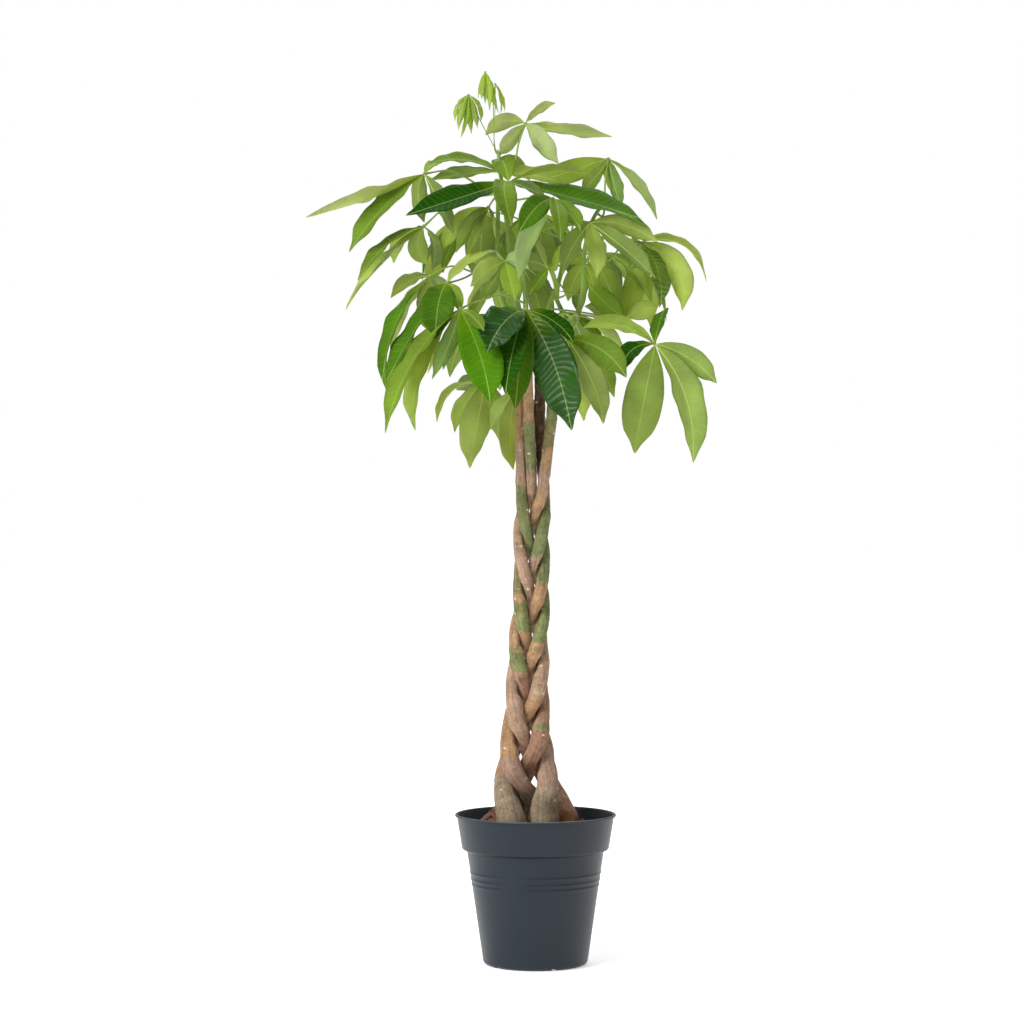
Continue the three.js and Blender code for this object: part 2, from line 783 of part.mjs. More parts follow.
const polar = (angle, reach, z) => [
  reach * Math.cos(radians(angle)), reach * Math.sin(radians(angle)), z,
];

// One leaflet of a far-side leaf, at a place counted from the middle leaflet.
function backBlade(hub, facing, place) {
  const shrink = 1 - BACK_LEAF.lengthLoss * Math.abs(place);
  const length = BACK_LEAF.length * shrink * (1 + BACK_LEAF.lengthDraw * draw());
  const droop = radians(
    BACK_LEAF.droop + BACK_LEAF.droopDraw * draw() + BACK_LEAF.droopGain * Math.abs(place),
  );
  const [dx, dy] = polar(facing + BACK_LEAF.spread * place, length * Math.cos(droop), 0);
  const tip = [hub[0] + dx, hub[1] + dy, hub[2] - length * Math.sin(droop)];
  const roll = BACK_LEAF.roll * place;
  return [...tip, BACK_LEAF.riseShare * length, BACK_LEAF.widthShare * length, roll, 0];
}

function backLeaves() {
  return Array.from({ length: BACK_LEAF.count }, (_, i) => {
    const share = i / (BACK_LEAF.count - 1);
    const facing = lerp(...BACK_LEAF.angles, share) + BACK_LEAF.angleDraw * draw();
    const tier = i % BACK_LEAF.tiers.length;
    const height = BACK_LEAF.tiers[tier] + BACK_LEAF.heightDraw * draw();
    const reach = BACK_LEAF.reach[tier];
    const hub = polar(facing, reach, height);
    const blades = Array.from(
      { length: BACK_LEAF.blades },
      (__, k) => backBlade(hub, facing, k - (BACK_LEAF.blades - 1) / 2),
    );
    const knee = polar(facing, BACK_LEAF.kneeShare * reach, height - BACK_LEAF.kneeDrop);
    return { shoot: 'back', hub, stalk: [knee], blades, stations: FEW_STATIONS };
  });
}

function makeShoot(name, leaves) {
  const route = SHOOTS[name].map(vector);
  const curve = smoothCurve(route);
  const pieces = [rod(curve, SHOOT_RADII, SHOOT_SIDES, 2 * route.length)];
  for (const leaf of leaves.filter((entry) => entry.shoot === name)) {
    pieces.push(...leafPieces(leaf, curve));
  }
  return pieces.reduce((whole, piece) => whole.add(piece));
}

// ---- The plant in its pot ----

const finish = (color, roughness) => new THREE.MeshStandardMaterial({ color, roughness });
const plastic = finish('#465058', 0.5);
const earth = finish('#5f3f31', 0.95);
const bark = finish('#a5866c', 0.8);
const leafGreen = finish('#4f8a24', 0.45);

const plant = new THREE.Group();
plant.name = 'potted_money_tree';
plant.add(meshOf('pot', makePot(), plastic));
plant.add(meshOf('soil', makeSoil(STEM_TOPS.map((_, stem) => makeHole(stem))), earth));
STEM_TOPS.forEach((_, stem) => {
  plant.add(meshOf(`stem_${stem + 1}`, makeStem(stem), bark));
});
const allLeaves = [...LEAVES, ...backLeaves()];
for (const name of Object.keys(SHOOTS)) {
  plant.add(meshOf(`leafy_shoot_${name}`, makeShoot(name, allLeaves), leafGreen));
}

export default plant;
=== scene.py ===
# A money tree with a braided trunk in a nursery pot, modelled over its solids. Metres, +Z up, the
# middle of the pot's foot at the origin. The plant's own sizes are in millimetres, times MM.
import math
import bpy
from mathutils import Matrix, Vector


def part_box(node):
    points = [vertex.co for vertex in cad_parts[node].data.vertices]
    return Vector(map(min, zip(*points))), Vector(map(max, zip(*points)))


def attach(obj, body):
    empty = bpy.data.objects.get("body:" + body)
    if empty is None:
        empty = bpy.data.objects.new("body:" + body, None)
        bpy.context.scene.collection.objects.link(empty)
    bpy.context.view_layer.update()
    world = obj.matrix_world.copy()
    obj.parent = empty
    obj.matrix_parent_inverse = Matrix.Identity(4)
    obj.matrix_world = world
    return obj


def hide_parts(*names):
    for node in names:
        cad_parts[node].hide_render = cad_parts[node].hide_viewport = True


bl_info = {
    "name": "Potted money tree",
    "version": (1, 0, 0),
    "blender": (4, 5, 0),
    "location": "3D View > Sidebar > Money tree",
    "description": "Models a potted money tree: braided stems, leafy shoots, soil and pot",
    "category": "Add Mesh",
}

import bpy
import numpy as np
from bpy.props import FloatProperty, FloatVectorProperty, IntProperty, PointerProperty
from mathutils import Vector, noise

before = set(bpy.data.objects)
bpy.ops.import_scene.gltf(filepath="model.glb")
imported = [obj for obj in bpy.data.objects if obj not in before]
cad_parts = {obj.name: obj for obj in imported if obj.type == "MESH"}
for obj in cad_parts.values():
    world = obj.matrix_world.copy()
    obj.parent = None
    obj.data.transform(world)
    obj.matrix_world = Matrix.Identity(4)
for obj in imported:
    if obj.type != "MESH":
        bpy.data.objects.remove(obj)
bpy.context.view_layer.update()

MM = 0.001
BODY = "root"
UP = np.array((0.0, 0.0, 1.0))

# ---- The stage, with the camera at the photograph's angle, in metres ----

CAMERA_PLACE = (-0.035, -4.16, 0.673)
CAMERA_LENS = 98.1
SENSOR_WIDTH = 36.0
FARTHEST_SEEN = 200.0
KEY_PLACE = (-2.6, -2.4, 3.4)
TOP_PLACE = (0.5, 1.5, 3.6)
TOP_SIZE = 2.0
LAMP_AIM = (0.0, 0.0, 0.9)
WHITE = (1.0, 1.0, 1.0)
COOL_WHITE = (0.97, 0.99, 1.0)

# ---- The pot and the soil, in millimetres ----

POT_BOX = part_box("pot")
POT_HEIGHT = POT_BOX[1][2] / MM
RIM_RADIUS = POT_BOX[1][0] / MM
FOOT_RADIUS = 78.5
FOOT_CORNER = 8.0
WALL = 2.4
FLOOR = 3.0
LIP_WIDTH = 4.0
LIP_DEPTH = 4.0
LIP_DROP = 0.3
NECK_DEPTH = 3.0
NECK_STEP = 0.4
COLLAR_TOP_RADIUS = 117.0
COLLAR_FOOT_RADIUS = 109.6
COLLAR_FOOT_HEIGHT = 174.5
COLLAR_CORNER = 3.0
COLLAR_RISE = 3.0
BODY_TOP_RADIUS = 101.7
BODY_TOP_HEIGHT = 168.0
LEDGE_DEPTH = 1.5
LEDGE_WIDTH = 0.6
RIB_HEIGHTS = (119.0, 127.0, 137.0)
RIB_RISE = 0.75
RIB_HALF_WIDTH = 3.5
RIB_POINTS = 9
CORNER_POINTS = 7
POT_STEPS = 160
DRAIN_COUNT = 5
DRAIN_TURN = -68.0
DRAIN_WIDTH = 10.0
DRAIN_DEPTH = 3.0
DRAIN_START = 26.0
DRAIN_HOLE = 8.0
DRAIN_HOLE_PLACE = 48.0
DRAIN_HOLE_DEPTH = 20.0

GAP = 0.3
SOIL_PROFILE = ((0.0, 211.0), (60.0, 206.0), (85.0, 200.0), (110.7, 198.0))
SOIL_RADIUS, SOIL_EDGE_HEIGHT = SOIL_PROFILE[-1]
# Where soil is heaped against a stem: middle, height and slope.
HEAPS = ((-61.0, 10.0, 233.0, 0.9), (54.0, 8.0, 221.0, 0.7))
SOIL_STEPS = 150
SOIL_RING = 2.2
SOIL_TOP_FROM = SOIL_EDGE_HEIGHT - 0.5
# How rough the soil is, the size of its grains and lumps, and where it gets even at the edge.
SOIL_GRAIN = 2.2
SOIL_GRAIN_SIZE = 9.0
SOIL_OCTAVES = 4
SOIL_LUMP_SIZE = 30.0
SOIL_LUMP_SHARE = 0.6
SOIL_EVEN_EDGE = 4.0
# Crumbs: how many, how far out, the smallest's share of the largest, how far they stand up, how
# flat and how wide they get, and how uneven they are.
CRUMB_COUNT = 700
CRUMB_REACH = 109.0
CRUMB_LEAST = 0.3
CRUMB_LIFT = 0.35
CRUMB_FLATTEST = 0.6
CRUMB_WIDEST = 1.4
CRUMB_JITTER = 0.35
CRUMB_SEED = 11

# ---- The braided trunk: height, middle in X, how far the stems stand from it, stem diameter ----

TRUNK = np.array((
    (150, -1, 42, 26), (190, -1, 44, 34), (221, -1, 43, 36), (244, -6, 39, 34), (273, -11, 35, 31),
    (303, -15, 29, 28), (333, -13, 26, 26), (363, -14, 23, 24.5), (393, -12, 21.5, 23),
    (422, -11.5, 21, 22), (482, -10, 19.8, 20), (541, -6, 18, 19), (601, -6, 18, 18),
    (646, -6, 18, 17.5), (700, -3, 18, 16), (765, 0, 18, 15.5), (960, 0, 18, 15),
)).T
STEM_COUNT = 5
STEM_FOOT = 150.0
BRAID_BOTTOM = 235.0
BRAID_EASE = 8.0
BRAID_TOP = 700.0
FIRST_TUCK = 692.0
TUCK_SPACING = 36.6
DEGREES_PER_TUCK = 36.0
STEM_GAP = 0.3
STEM_SOFTNESS = 0.4
# A stem is flattened by what presses on it at these heights above and below, unless its
# neighbour is nearly edge-on.
PRESS_LEVELS = (-9.0, -4.5, 0.0, 4.5, 9.0)
PRESS_LEAST = 0.02
STEM_SIDES = 44
STEM_STEP = 2.5
STEM_END = 0.8
FOOT_SHARE = 0.96
TOP_SHARE = 0.94
# The bark stands a little proud of its solid, and more where the stems reach the soil.
BARK_SWELL = 0.8
FLARE = 5.0
FLARE_HEIGHTS = (200.0, 265.0)
# Lumps in the bark, and how its bands wander: height and size of each, and a level.
BARK_LUMPS = ((1.1, 26.0), (0.5, 8.0))
BARK_LEVEL = -0.25
BAND_WANDER = ((8.0, 9.0), (2.0, 3.0))
# Above the braid each stem bends to its own cut top.
STEM_TOPS = (
    ((-10, -12, 810), (-13, -17, 900)),
    ((6, 14, 810), (8, 19, 925)),
    ((24, -4, 810), (29, -8, 905)),
    ((-14, 18, 810), (-17, 25, 915)),
    ((-22, 2, 810), (-28, 1, 935)),
)
# The bark's colour on each stem, from the height given upwards.
BARK_BANDS = (
    (
        (0, "rust"), (228, "brown"), (300, "pink"), (505, "orange"), (565, "green"), (650, "tan"),
        (690, "pink"), (738, "green"), (806, "tan"),
    ),
    (
        (0, "grey"), (268, "mauve"), (330, "brown"), (438, "green"), (470, "tan"), (580, "pink"),
        (608, "green"), (690, "olive"), (725, "umber"),
    ),
    (
        (0, "grey"), (280, "brown"), (350, "green"), (360, "brown"), (469, "orange"), (495, "green"),
        (540, "tan"), (552, "olive"), (600, "tan"), (707, "pink"), (741, "tan"), (770, "olive"),
        (795, "green"),
    ),
    ((0, "grey"), (285, "brown"), (363, "orange"), (400, "pink"), (655, "tan"), (720, "olive")),
    (
        (0, "grey"), (262, "mauve"), (312, "orange"), (437, "tan"), (480, "green"), (712, "pink"),
        (776, "orange"),
    ),
)

# ---- Leaves ----

WIDEST_AT = 0.556
TIP_TAPER = 0.8
TIP_NARROWING = 0.4
TIP_SHARES = (0.8, 0.95)
KNEE_SHARE = 0.46
STEEP = 0.15
BLADE_START = 0.36
BLADE_FOLD = 0.24
FOLD_POWER = 1.3
# How far a blade's edge waves as a share of its width, on a plain and on a corrugated leaflet.
PLAIN_WAVE = 0.04
CORRUGATED_WAVE = 0.06
# The long and the short waves: how many to a length, how far the halves are out of step, share.
LONG_WAVE = (1.6, 1.3)
SHORT_WAVE = (4.3, 2.1, 0.6)
TIP_CURL = 0.9
CURL_FROM = 0.7
CURL_LIFT = 0.25
# How far forward side veins run, as a share of the way out, and how they stray from even rows.
VEIN_SLANT = 0.5
VEIN_STRAY = (0.35, 2.1, 0.4)
# How strongly side veins stand out on a plain and on a corrugated leaflet, and how deep its rows
# are in millimetres. They fade towards the tip and the base, this many lengths to the whole.
PLAIN = 0.6
CORRUGATED = 1.8
CORRUGATION = 1.8
TIP_FADES = 12
BASE_FADES = 8
# No two leaflets have quite the same colour: more red or less, and lighter or darker.
HUE_CHANGE = np.array((0.16, 0.1, 0.1))
LEVEL_CHANGE = 0.12
YOUNG_LENGTH = 75.0
YOUNG_WIDTH = 0.68
YOUNG_FOLD = -0.35
YOUNG_FADING = 0.9
PLAIN_COLUMNS = 8
CORRUGATED_COLUMNS = 12
CORRUGATED_FINENESS = 4
# Radii along a rib, a leaf stalk, a bud and a shoot. A short leaflet has a thinner rib.
RIB_PROFILE = ((0, 0.08, 0.96), (1.5, 1.05, 0.2))
RIB_SPOTS = 15
RIB_LEAST = 0.25
RIB_FULL_LENGTH = 180.0
RIB_DEPTH = 0.7
STALK_PROFILE = ((0, 0.05, 0.12, 0.93, 1), (1.5, 1.35, 1.0, 1.2, 1.7))
STALK_RADIUS = 1.35
STALK_SPOTS = 12
YOUNG_STALK_SHARE = 0.45
HUB_RADIUS = 3.8
YOUNG_HUB_RADIUS = 2.4
# A hub swells from its base and closes in above, like part of a sine wave.
HUB_SHARE = 0.8
HUB_SPOTS = 7
HUB_SPAN = (-0.5, 0.45)
HUB_BULGE = (0.5, 2.7)
BUD_LENGTH = 9.0
BUD_RADII = (2.6, 2.8, 2.5, 1.8, 1.0, 0.3)
SHOOT_RADII = (5.2, 2.8)
SHOOT_SPOTS = 61
CURVE_SPOTS = 25
LEAF_SEED = 5

# The crown's far side, filled by a rule: leaves fan out behind the trunk, in tiers.
BACK_COUNT = 6
BACK_ANGLES = (50.0, 134.0)
BACK_ANGLE_DRAW = 4.0
BACK_TIERS = (1062.0, 985.0, 1128.0)
BACK_REACH = (150.0, 128.0, 112.0)
BACK_HEIGHT_DRAW = 10.0
BACK_KNEE_SHARE = 0.55
BACK_KNEE_DROP = 8.0
BACK_BLADES = 5
BACK_LENGTH = 165.0
BACK_LENGTH_LOSS = 0.14
BACK_LENGTH_DRAW = 0.08
BACK_WIDTH_SHARE = 0.34
BACK_RISE_SHARE = 0.13
BACK_SPREAD = 37.0
BACK_DROOP = 38.0
BACK_DROOP_DRAW = 9.0
BACK_DROOP_GAIN = 6.0
BACK_ROLL = 10.0
BACK_TONES = "LOPMO"
FIRST_SEED = 7
SEED_FACTOR = 16807
SEED_LIMIT = 2147483647

# Each leaf: its shoot, hub, stalk points towards the shoot, and leaflets. A leaflet is its tip's
# place, how far it arches up, its width, its turn about the rib in degrees, how far it bends to
# the side, and its tone. A small letter is a strongly corrugated leaflet of that tone.
LEAVES = (
    ("top", (-15, 20, 1255), ((-25, 15, 1225), (-35, 5, 1185)), (
        (30, 45, 1290, 4, 20, 50, 0, "F"), (115, 5, 1235, -4, 40, 20, 0, "F"),
        (35, -20, 1190, 4, 35, 80, 10, "F"), (-55, 0, 1205, 0, 25, -80, 0, "F"),
        (-75, 40, 1240, 12, 25, -70, 0, "F"),
    )),
    ("right", (110, 40, 1205), ((105, 30, 1170), (100, 10, 1115)), (
        (5, 70, 1175, -2, 35, -80, -5, "Y"), (65, 0, 1150, -4, 30, -80, 0, "Y"),
        (130, 20, 1125, -2, 30, 80, 0, "B"), (185, 55, 1115, 8, 35, 10, 0, "F"),
        (130, 120, 1150, 2, 30, -20, -5, "Y"),
    )),
    ("top", (-40, -40, 1160), ((-45, -25, 1145),), (
        (-190, -95, 1105, 0, 50, 40, 0, "D"), (165, -70, 1100, 4, 60, -30, -20, "M"),
        (80, -10, 1175, 10, 40, 10, 0, "P"), (-55, 20, 1205, 8, 35, 20, 0, "O"),
        (20, -60, 1130, 4, 30, 30, 0, "M"), (-35, -120, 1085, 24, 35, 10, 10, "O"),
    )),
    ("top", (-55, -5, 1180), ((-50, -5, 1160),), (
        (-160, -20, 1190, 12, 35, 30, 5, "O"), (-160, 25, 1170, 4, 35, -20, 5, "L"),
        (-10, 60, 1175, 16, 30, 70, 0, "P"), (30, 30, 1170, 4, 30, 30, 0, "P"),
    )),
    ("left", (-165, -20, 1175), ((-125, -10, 1180), (-75, 0, 1155)), (
        (-340, -40, 1110, -8, 60, -10, -10, "F"), (-275, -60, 1055, 10, 55, 20, -10, "O"),
        (-165, 10, 1105, 18, 30, -30, -10, "O"), (-140, 30, 1200, 4, 20, -10, 0, "L"),
        (-120, -70, 1080, 2, 35, 80, 0, "O"),
    )),
    ("left", (-165, -40, 1095), ((-125, -30, 1130), (-70, -5, 1145)), (
        (-260, -80, 1010, 14, 40, 10, 0, "O"), (-285, -20, 975, 8, 55, 20, 10, "F"),
        (-160, -20, 1040, -8, 30, 20, -10, "P"), (-155, 15, 1035, 4, 30, -40, 10, "M"),
        (-215, 60, 1050, 10, 35, 20, -5, "P"),
    )),
    ("left", (-70, -20, 1125), ((-60, -10, 1140),), (
        (-120, -60, 1055, 8, 30, -80, -10, "L"), (-140, -10, 1060, 12, 30, 70, 0, "P"),
        (-60, -60, 1075, 4, 20, 80, 0, "P"), (-100, -75, 1050, -2, 30, -80, 0, "P"),
    )),
    ("left", (-155, -60, 1020), ((-125, -50, 1035), (-80, -20, 1025)), (
        (-215, -30, 990, 10, 30, -20, 5, "P"), (-225, -90, 850, 20, 55, 0, 0, "M"),
        (-215, -45, 910, 10, 40, -10, 5, "F"), (-155, -40, 935, 2, 30, 60, -10, "P"),
        (-130, -40, 990, 4, 20, 50, 0, "F"),
    )),
    ("front", (-130, -105, 1005), ((-105, -80, 1015), (-65, -40, 1040)), (
        (-220, -135, 855, 4, 55, 10, 0, "M"), (-145, -160, 920, 16, 50, 10, 0, "M"),
        (-110, -140, 960, 8, 20, -30, 0, "L"), (-55, -60, 1060, 6, 35, -10, -5, "P"),
        (-170, -60, 950, -2, 30, 0, -10, "L"),
    )),
    ("front", (-110, -150, 965), ((-80, -120, 980), (-45, -80, 990), (-15, -45, 980)), (
        (-65, -200, 830, 4, 60, -30, -5, "B"), (-215, -185, 785, 20, 60, 10, 0, "O"),
        (-180, -150, 790, 20, 60, 30, 0, "F"), (-75, -190, 930, 2, 20, -40, -5, "O"),
        (-150, -120, 865, 0, 35, 0, 5, "B"),
    )),
    ("back", (-75, 60, 870), ((-50, 60, 895), (-20, 60, 940), (10, 45, 970)), (
        (-100, 50, 740, 8, 50, -80, -20, "P"), (-125, 80, 795, 8, 30, -30, 0, "P"),
        (-150, 95, 810, 20, 30, 0, -10, "P"), (-55, 110, 785, 2, 35, 20, 5, "P"),
        (-120, 120, 860, 4, 30, -50, 0, "M"),
    )),
    ("back", (-30, 35, 855), ((-25, 45, 895), (0, 50, 940)), (
        (-35, 30, 735, 8, 35, -10, 0, "P"), (15, 95, 785, 6, 30, 30, 0, "Y"),
        (-70, 100, 800, 4, 30, -20, 0, "P"),
    )),
    ("front", (-15, -130, 965), ((-15, -90, 980), (-20, -45, 1010)), (
        (-70, -190, 900, 12, 60, 30, 0, "d"), (-45, -190, 840, 8, 45, 0, 0, "D"),
        (-30, -150, 820, 8, 45, 20, -5, "M"), (50, -165, 790, 12, 65, -80, 0, "d"),
        (55, -150, 915, 8, 30, -40, -10, "D"),
    )),
    ("right", (45, -110, 925), ((40, -80, 945), (60, -40, 965)), (
        (130, -150, 865, 12, 40, -70, -10, "O"), (100, -130, 800, 8, 40, 80, 0, "P"),
        (70, -90, 805, 4, 35, 20, 0, "P"), (115, -85, 840, 16, 35, 40, -10, "Y"),
        (40, -60, 865, 14, 30, 0, -5, "L"),
    )),
    ("right", (175, -60, 920), ((140, -50, 945), (95, -30, 960), (75, -15, 965)), (
        (145, -40, 760, 0, 60, -50, 0, "L"), (230, -80, 745, 20, 60, 60, 0, "L"),
        (265, -95, 860, 8, 35, 80, -5, "L"), (125, -115, 875, 12, 30, 30, 10, "D"),
        (70, -20, 950, 14, 35, -40, 0, "Y"), (195, 20, 980, 6, 30, 30, 0, "M"),
    )),
    ("back", (135, 40, 965), ((105, 30, 965), (80, 15, 970)), (
        (80, 40, 1015, -4, 35, 80, -10, "L"), (75, 75, 985, 4, 30, -70, 5, "O"),
        (185, 35, 980, 4, 30, 80, -5, "P"), (95, 70, 1050, 2, 40, -80, -5, "Y"),
        (155, 80, 1055, -10, 35, -20, 0, "P"),
    )),
    ("right", (80, -40, 1100), ((60, -25, 1105), (55, -10, 1090)), (
        (-5, -70, 1080, 4, 30, 20, 0, "O"), (35, -75, 1020, 8, 35, -80, -5, "L"),
        (180, -55, 1070, 10, 30, 70, 5, "P"), (175, -80, 1015, 4, 40, 50, 0, "L"),
        (90, -120, 1015, 4, 35, 20, 0, "P"),
    )),
    ("right", (155, 0, 1075), ((135, 0, 1075), (105, -5, 1045)), (
        (255, -30, 1015, 28, 35, 20, 0, "P"), (220, -25, 970, 24, 40, 80, -5, "P"),
        (185, -60, 975, 12, 35, 10, -5, "o"), (145, 55, 1075, 4, 20, -60, 0, "P"),
        (140, 45, 1040, -6, 25, -30, 5, "L"),
    )),
    ("top", (25, -90, 1130), ((0, -60, 1135), (-35, -20, 1135)), (
        (-25, -150, 1075, 12, 35, 50, -5, "M"), (-30, -150, 1005, 8, 45, -80, 0, "S"),
        (65, -140, 1080, 4, 30, -20, 0, "O"), (35, -165, 1060, 16, 30, 20, 0, "O"),
    )),
    ("back", (20, -5, 1035), ((30, -5, 1020), (45, 0, 1000)), (
        (-10, -10, 995, 2, 20, 80, -5, "L"), (35, -60, 975, 2, 30, 80, 0, "O"),
        (0, 40, 1080, 4, 30, -80, -5, "O"), (45, 45, 1080, -8, 30, 80, 0, "Y"),
        (-25, 30, 1050, 4, 30, -80, 5, "O"),
    )),
    ("back", (75, 60, 1050), ((70, 45, 1030), (70, 20, 1000)), (
        (45, 70, 1060, 2, 20, -80, 0, "Y"), (50, 100, 995, 6, 30, -20, 0, "Y"),
        (95, 105, 995, 6, 30, -10, 0, "Y"), (105, 90, 1095, 0, 20, 80, 5, "Y"),
    )),
    ("front", (-45, -70, 1040), ((-50, -45, 1020), (-55, -25, 1000)), (
        (-95, -110, 1000, 6, 35, -80, -5, "P"), (-80, -95, 980, 0, 35, -80, 0, "L"),
        (-10, -115, 1025, 8, 25, 80, 5, "S"), (-30, -130, 980, 0, 30, -10, 0, "L"),
        (-90, -45, 1040, 8, 20, -70, 0, "F"),
    )),
    ("top", (-100, 0, 1295), ((-84, 0, 1260),), (
        (-120, -5, 1255, 8, 15, 30, 0, "N"), (-110, -10, 1230, 4, 20, -10, -5, "N"),
        (-95, -15, 1235, 2, 20, 30, 0, "N"), (-115, -22, 1240, 5, 15, 20, 0, "N"),
        (-86, -18, 1243, 4, 14, -20, 0, "N"), (-80, -5, 1255, 8, 15, -30, 0, "N"),
    )),
    ("top", (-75, 5, 1330), ((-65, 5, 1300), (-60, 0, 1215)), (
        (-85, 0, 1290, 4, 10, 0, 0, "N"), (-75, -10, 1280, 4, 15, -40, 0, "N"),
        (-70, -10, 1270, 8, 20, -70, 0, "N"), (-60, 5, 1275, 4, 20, -40, -5, "N"),
        (-80, -16, 1286, 4, 14, 20, 0, "N"),
    )),
    ("top", (-60, -10, 1310), ((-60, -10, 1285), (-60, -5, 1210)), (
        (-55, -20, 1265, -4, 15, 40, 0, "N"), (-50, -10, 1265, 4, 15, -10, 0, "N"),
        (-45, -5, 1270, 4, 15, -50, 0, "N"),
    )),
)

# The green shoot on each stem's cut top.
SHOOTS = {
    "front": ((-13, -17, 900.3), (-13, -17, 915), (-14, -28, 955), (-16, -38, 1000), (-22, -42, 1045)),
    "left": (
        (-28, 1, 935.3), (-28, 1, 946), (-48, -6, 985),
        (-57, -12, 1030), (-56, -12, 1090), (-56, -8, 1150),
    ),
    "top": (
        (-17, 25, 915.3), (-17, 25, 928), (-26, 20, 980), (-36, 12, 1040),
        (-42, 4, 1100), (-49, -2, 1150), (-55, -2, 1205),
    ),
    "right": (
        (29, -8, 905.3), (29, -8, 916), (58, -4, 955), (70, 2, 1000),
        (73, 6, 1060), (86, 10, 1110), (98, 12, 1130),
    ),
    "back": ((8, 19, 925.3), (8, 19, 936), (20, 40, 980), (38, 56, 1030), (46, 64, 1085)),
}
# The faded tone is partly painted backlight, and the silvery tone is a painted sheen.
TONE_OF = {
    "D": "dark", "M": "middle", "B": "bright", "O": "olive", "L": "light",
    "P": "pale", "F": "faded_with_painted_backlight", "Y": "yellowish", "S": "painted_silver_sheen", "N": "young",
}


def linear(text):
    """An sRGB hex colour as linear red, green and blue."""
    shares = [int(text[i:i + 2], 16) / 255 for i in (0, 2, 4)]
    return [c / 12.92 if c <= 0.04045 else ((c + 0.055) / 1.055) ** 2.4 for c in shares]


def colour_property(name, description, text):
    """A colour that a user can change."""
    return FloatVectorProperty(
        name=name, description=description, subtype="COLOR", min=0.0, max=1.0, default=linear(text),
    )


class StageSettings(bpy.types.PropertyGroup):
    floor_size: FloatProperty(
        name="Floor size", description="Width of the floor", default=60.0, unit="LENGTH",
    )
    floor_colour: colour_property("Floor colour", "Colour of the floor", "f7f7f5")
    floor_glow: FloatProperty(
        name="Floor glow", description="Light that comes up through the floor", default=0.42,
    )
    sky_strength: FloatProperty(
        name="Sky", description="Strength of the light from all round", default=0.36,
    )
    key_strength: FloatProperty(
        name="Key light", description="Strength of the light from the front left", default=2.75,
    )
    key_spread: FloatProperty(
        name="Key spread", description="Angle that the key light fills", default=math.radians(35),
        subtype="ANGLE",
    )
    top_power: FloatProperty(
        name="Top light", description="Power of the lamp above and behind", default=60.0, unit="POWER",
    )


class PotSettings(bpy.types.PropertyGroup):
    plastic_colour: colour_property("Plastic", "Colour of the pot's plastic", "18222c")
    # The colour of the lip's paler patches.
    pale_lip_colour: colour_property("Scuffs", "Colour of the worn rim", "66706b")
    roughness: FloatProperty(
        name="Roughness", description="Roughness of the plastic", default=0.38, subtype="FACTOR",
    )


class SoilSettings(bpy.types.PropertyGroup):
    dark_colour: colour_property("Moist peat", "Colour of the moist compost", "3a241b")
    light_colour: colour_property("Dry peat", "Colour of dry crumbs and fibres", "7a5040")
    crumb_size: FloatProperty(
        name="Crumb size", description="Diameter of the largest crumbs", default=0.007, unit="LENGTH",
    )


class TrunkSettings(bpy.types.PropertyGroup):
    tan: colour_property("Tan bark", "Colour of dry young bark", "ad8a66")
    pink: colour_property("Pink bark", "Colour of freshly peeled bark", "ae8f78")
    orange: colour_property("Orange bark", "Colour of rubbed bark", "a88460")
    green: colour_property("Green bark", "Colour of green bark", "777f50")
    olive: colour_property("Olive bark", "Colour of bark that turns green", "877f55")
    brown: colour_property("Brown bark", "Colour of old bark", "9d7860")
    mauve: colour_property("Mauve bark", "Colour of old smooth bark", "a08170")
    grey: colour_property("Grey bark", "Colour of the bark near the soil", "92826c")
    umber: colour_property("Umber bark", "Colour of the bark in the middle", "5e4535")
    rust: colour_property("Rusty bark", "Colour of the bark at the foot", "8c5b3f")
    scar_colour: colour_property("Scars", "Colour of the pale scars", "dcc8a8")
    # This colour is also the painted shade in the creases between the stems.
    speck_and_painted_shade_colour: colour_property("Specks", "Colour of the dark specks and cracks", "3a2c20")


class LeafSettings(bpy.types.PropertyGroup):
    dark: colour_property("Dark", "Upper side of the oldest leaflets", "265809")
    middle: colour_property("Middle", "Upper side of full-grown leaflets", "527e1c")
    bright: colour_property("Bright", "Upper side of new full-size leaflets", "5a9014")
    olive: colour_property("Olive", "Upper side of olive leaflets", "749132")
    light: colour_property("Light", "Upper side of light leaflets", "88a63e")
    pale: colour_property("Pale", "Upper side of pale leaflets", "a8bb62")
    # Pale grey-green: partly a faded leaflet, partly painted backlight that washes it out.
    faded_with_painted_backlight: colour_property("Faded", "What the undersides of faded leaflets come from", "b8c4b4")
    yellowish: colour_property("Yellowish", "Upper side of yellowish leaflets", "9cb816")
    # Silvery blue-green: a painted sheen, as of light reflected on a glossy leaflet.
    painted_silver_sheen: colour_property("Silvery", "What the undersides of silvery leaflets come from", "a4caae")
    young: colour_property("Young", "Upper side of young leaflets", "8fb02c")
    under_colour: colour_property("Underside", "What the undersides tend to", "b2be80")
    under_share: FloatProperty(
        name="Underside share", description="How far undersides go there", default=0.55, subtype="FACTOR",
    )
    vein_colour: colour_property("Veins", "Colour of the ribs", "bccf7c")
    margin_colour: colour_property("Margins", "Colour of dry margins", "7d6c38")
    stalk_colour: colour_property("Stalks", "Colour of leaf stalks", "86a640")
    thickness: FloatProperty(
        name="Thickness", description="Thickness of a leaflet", default=0.0006, unit="LENGTH",
    )
    vein_spacing: FloatProperty(
        name="Vein spacing", description="Distance between side veins", default=0.009, unit="LENGTH",
    )
    stations: IntProperty(name="Stations", description="Rows of faces along a leaflet", default=26)


# ---- Tools ----


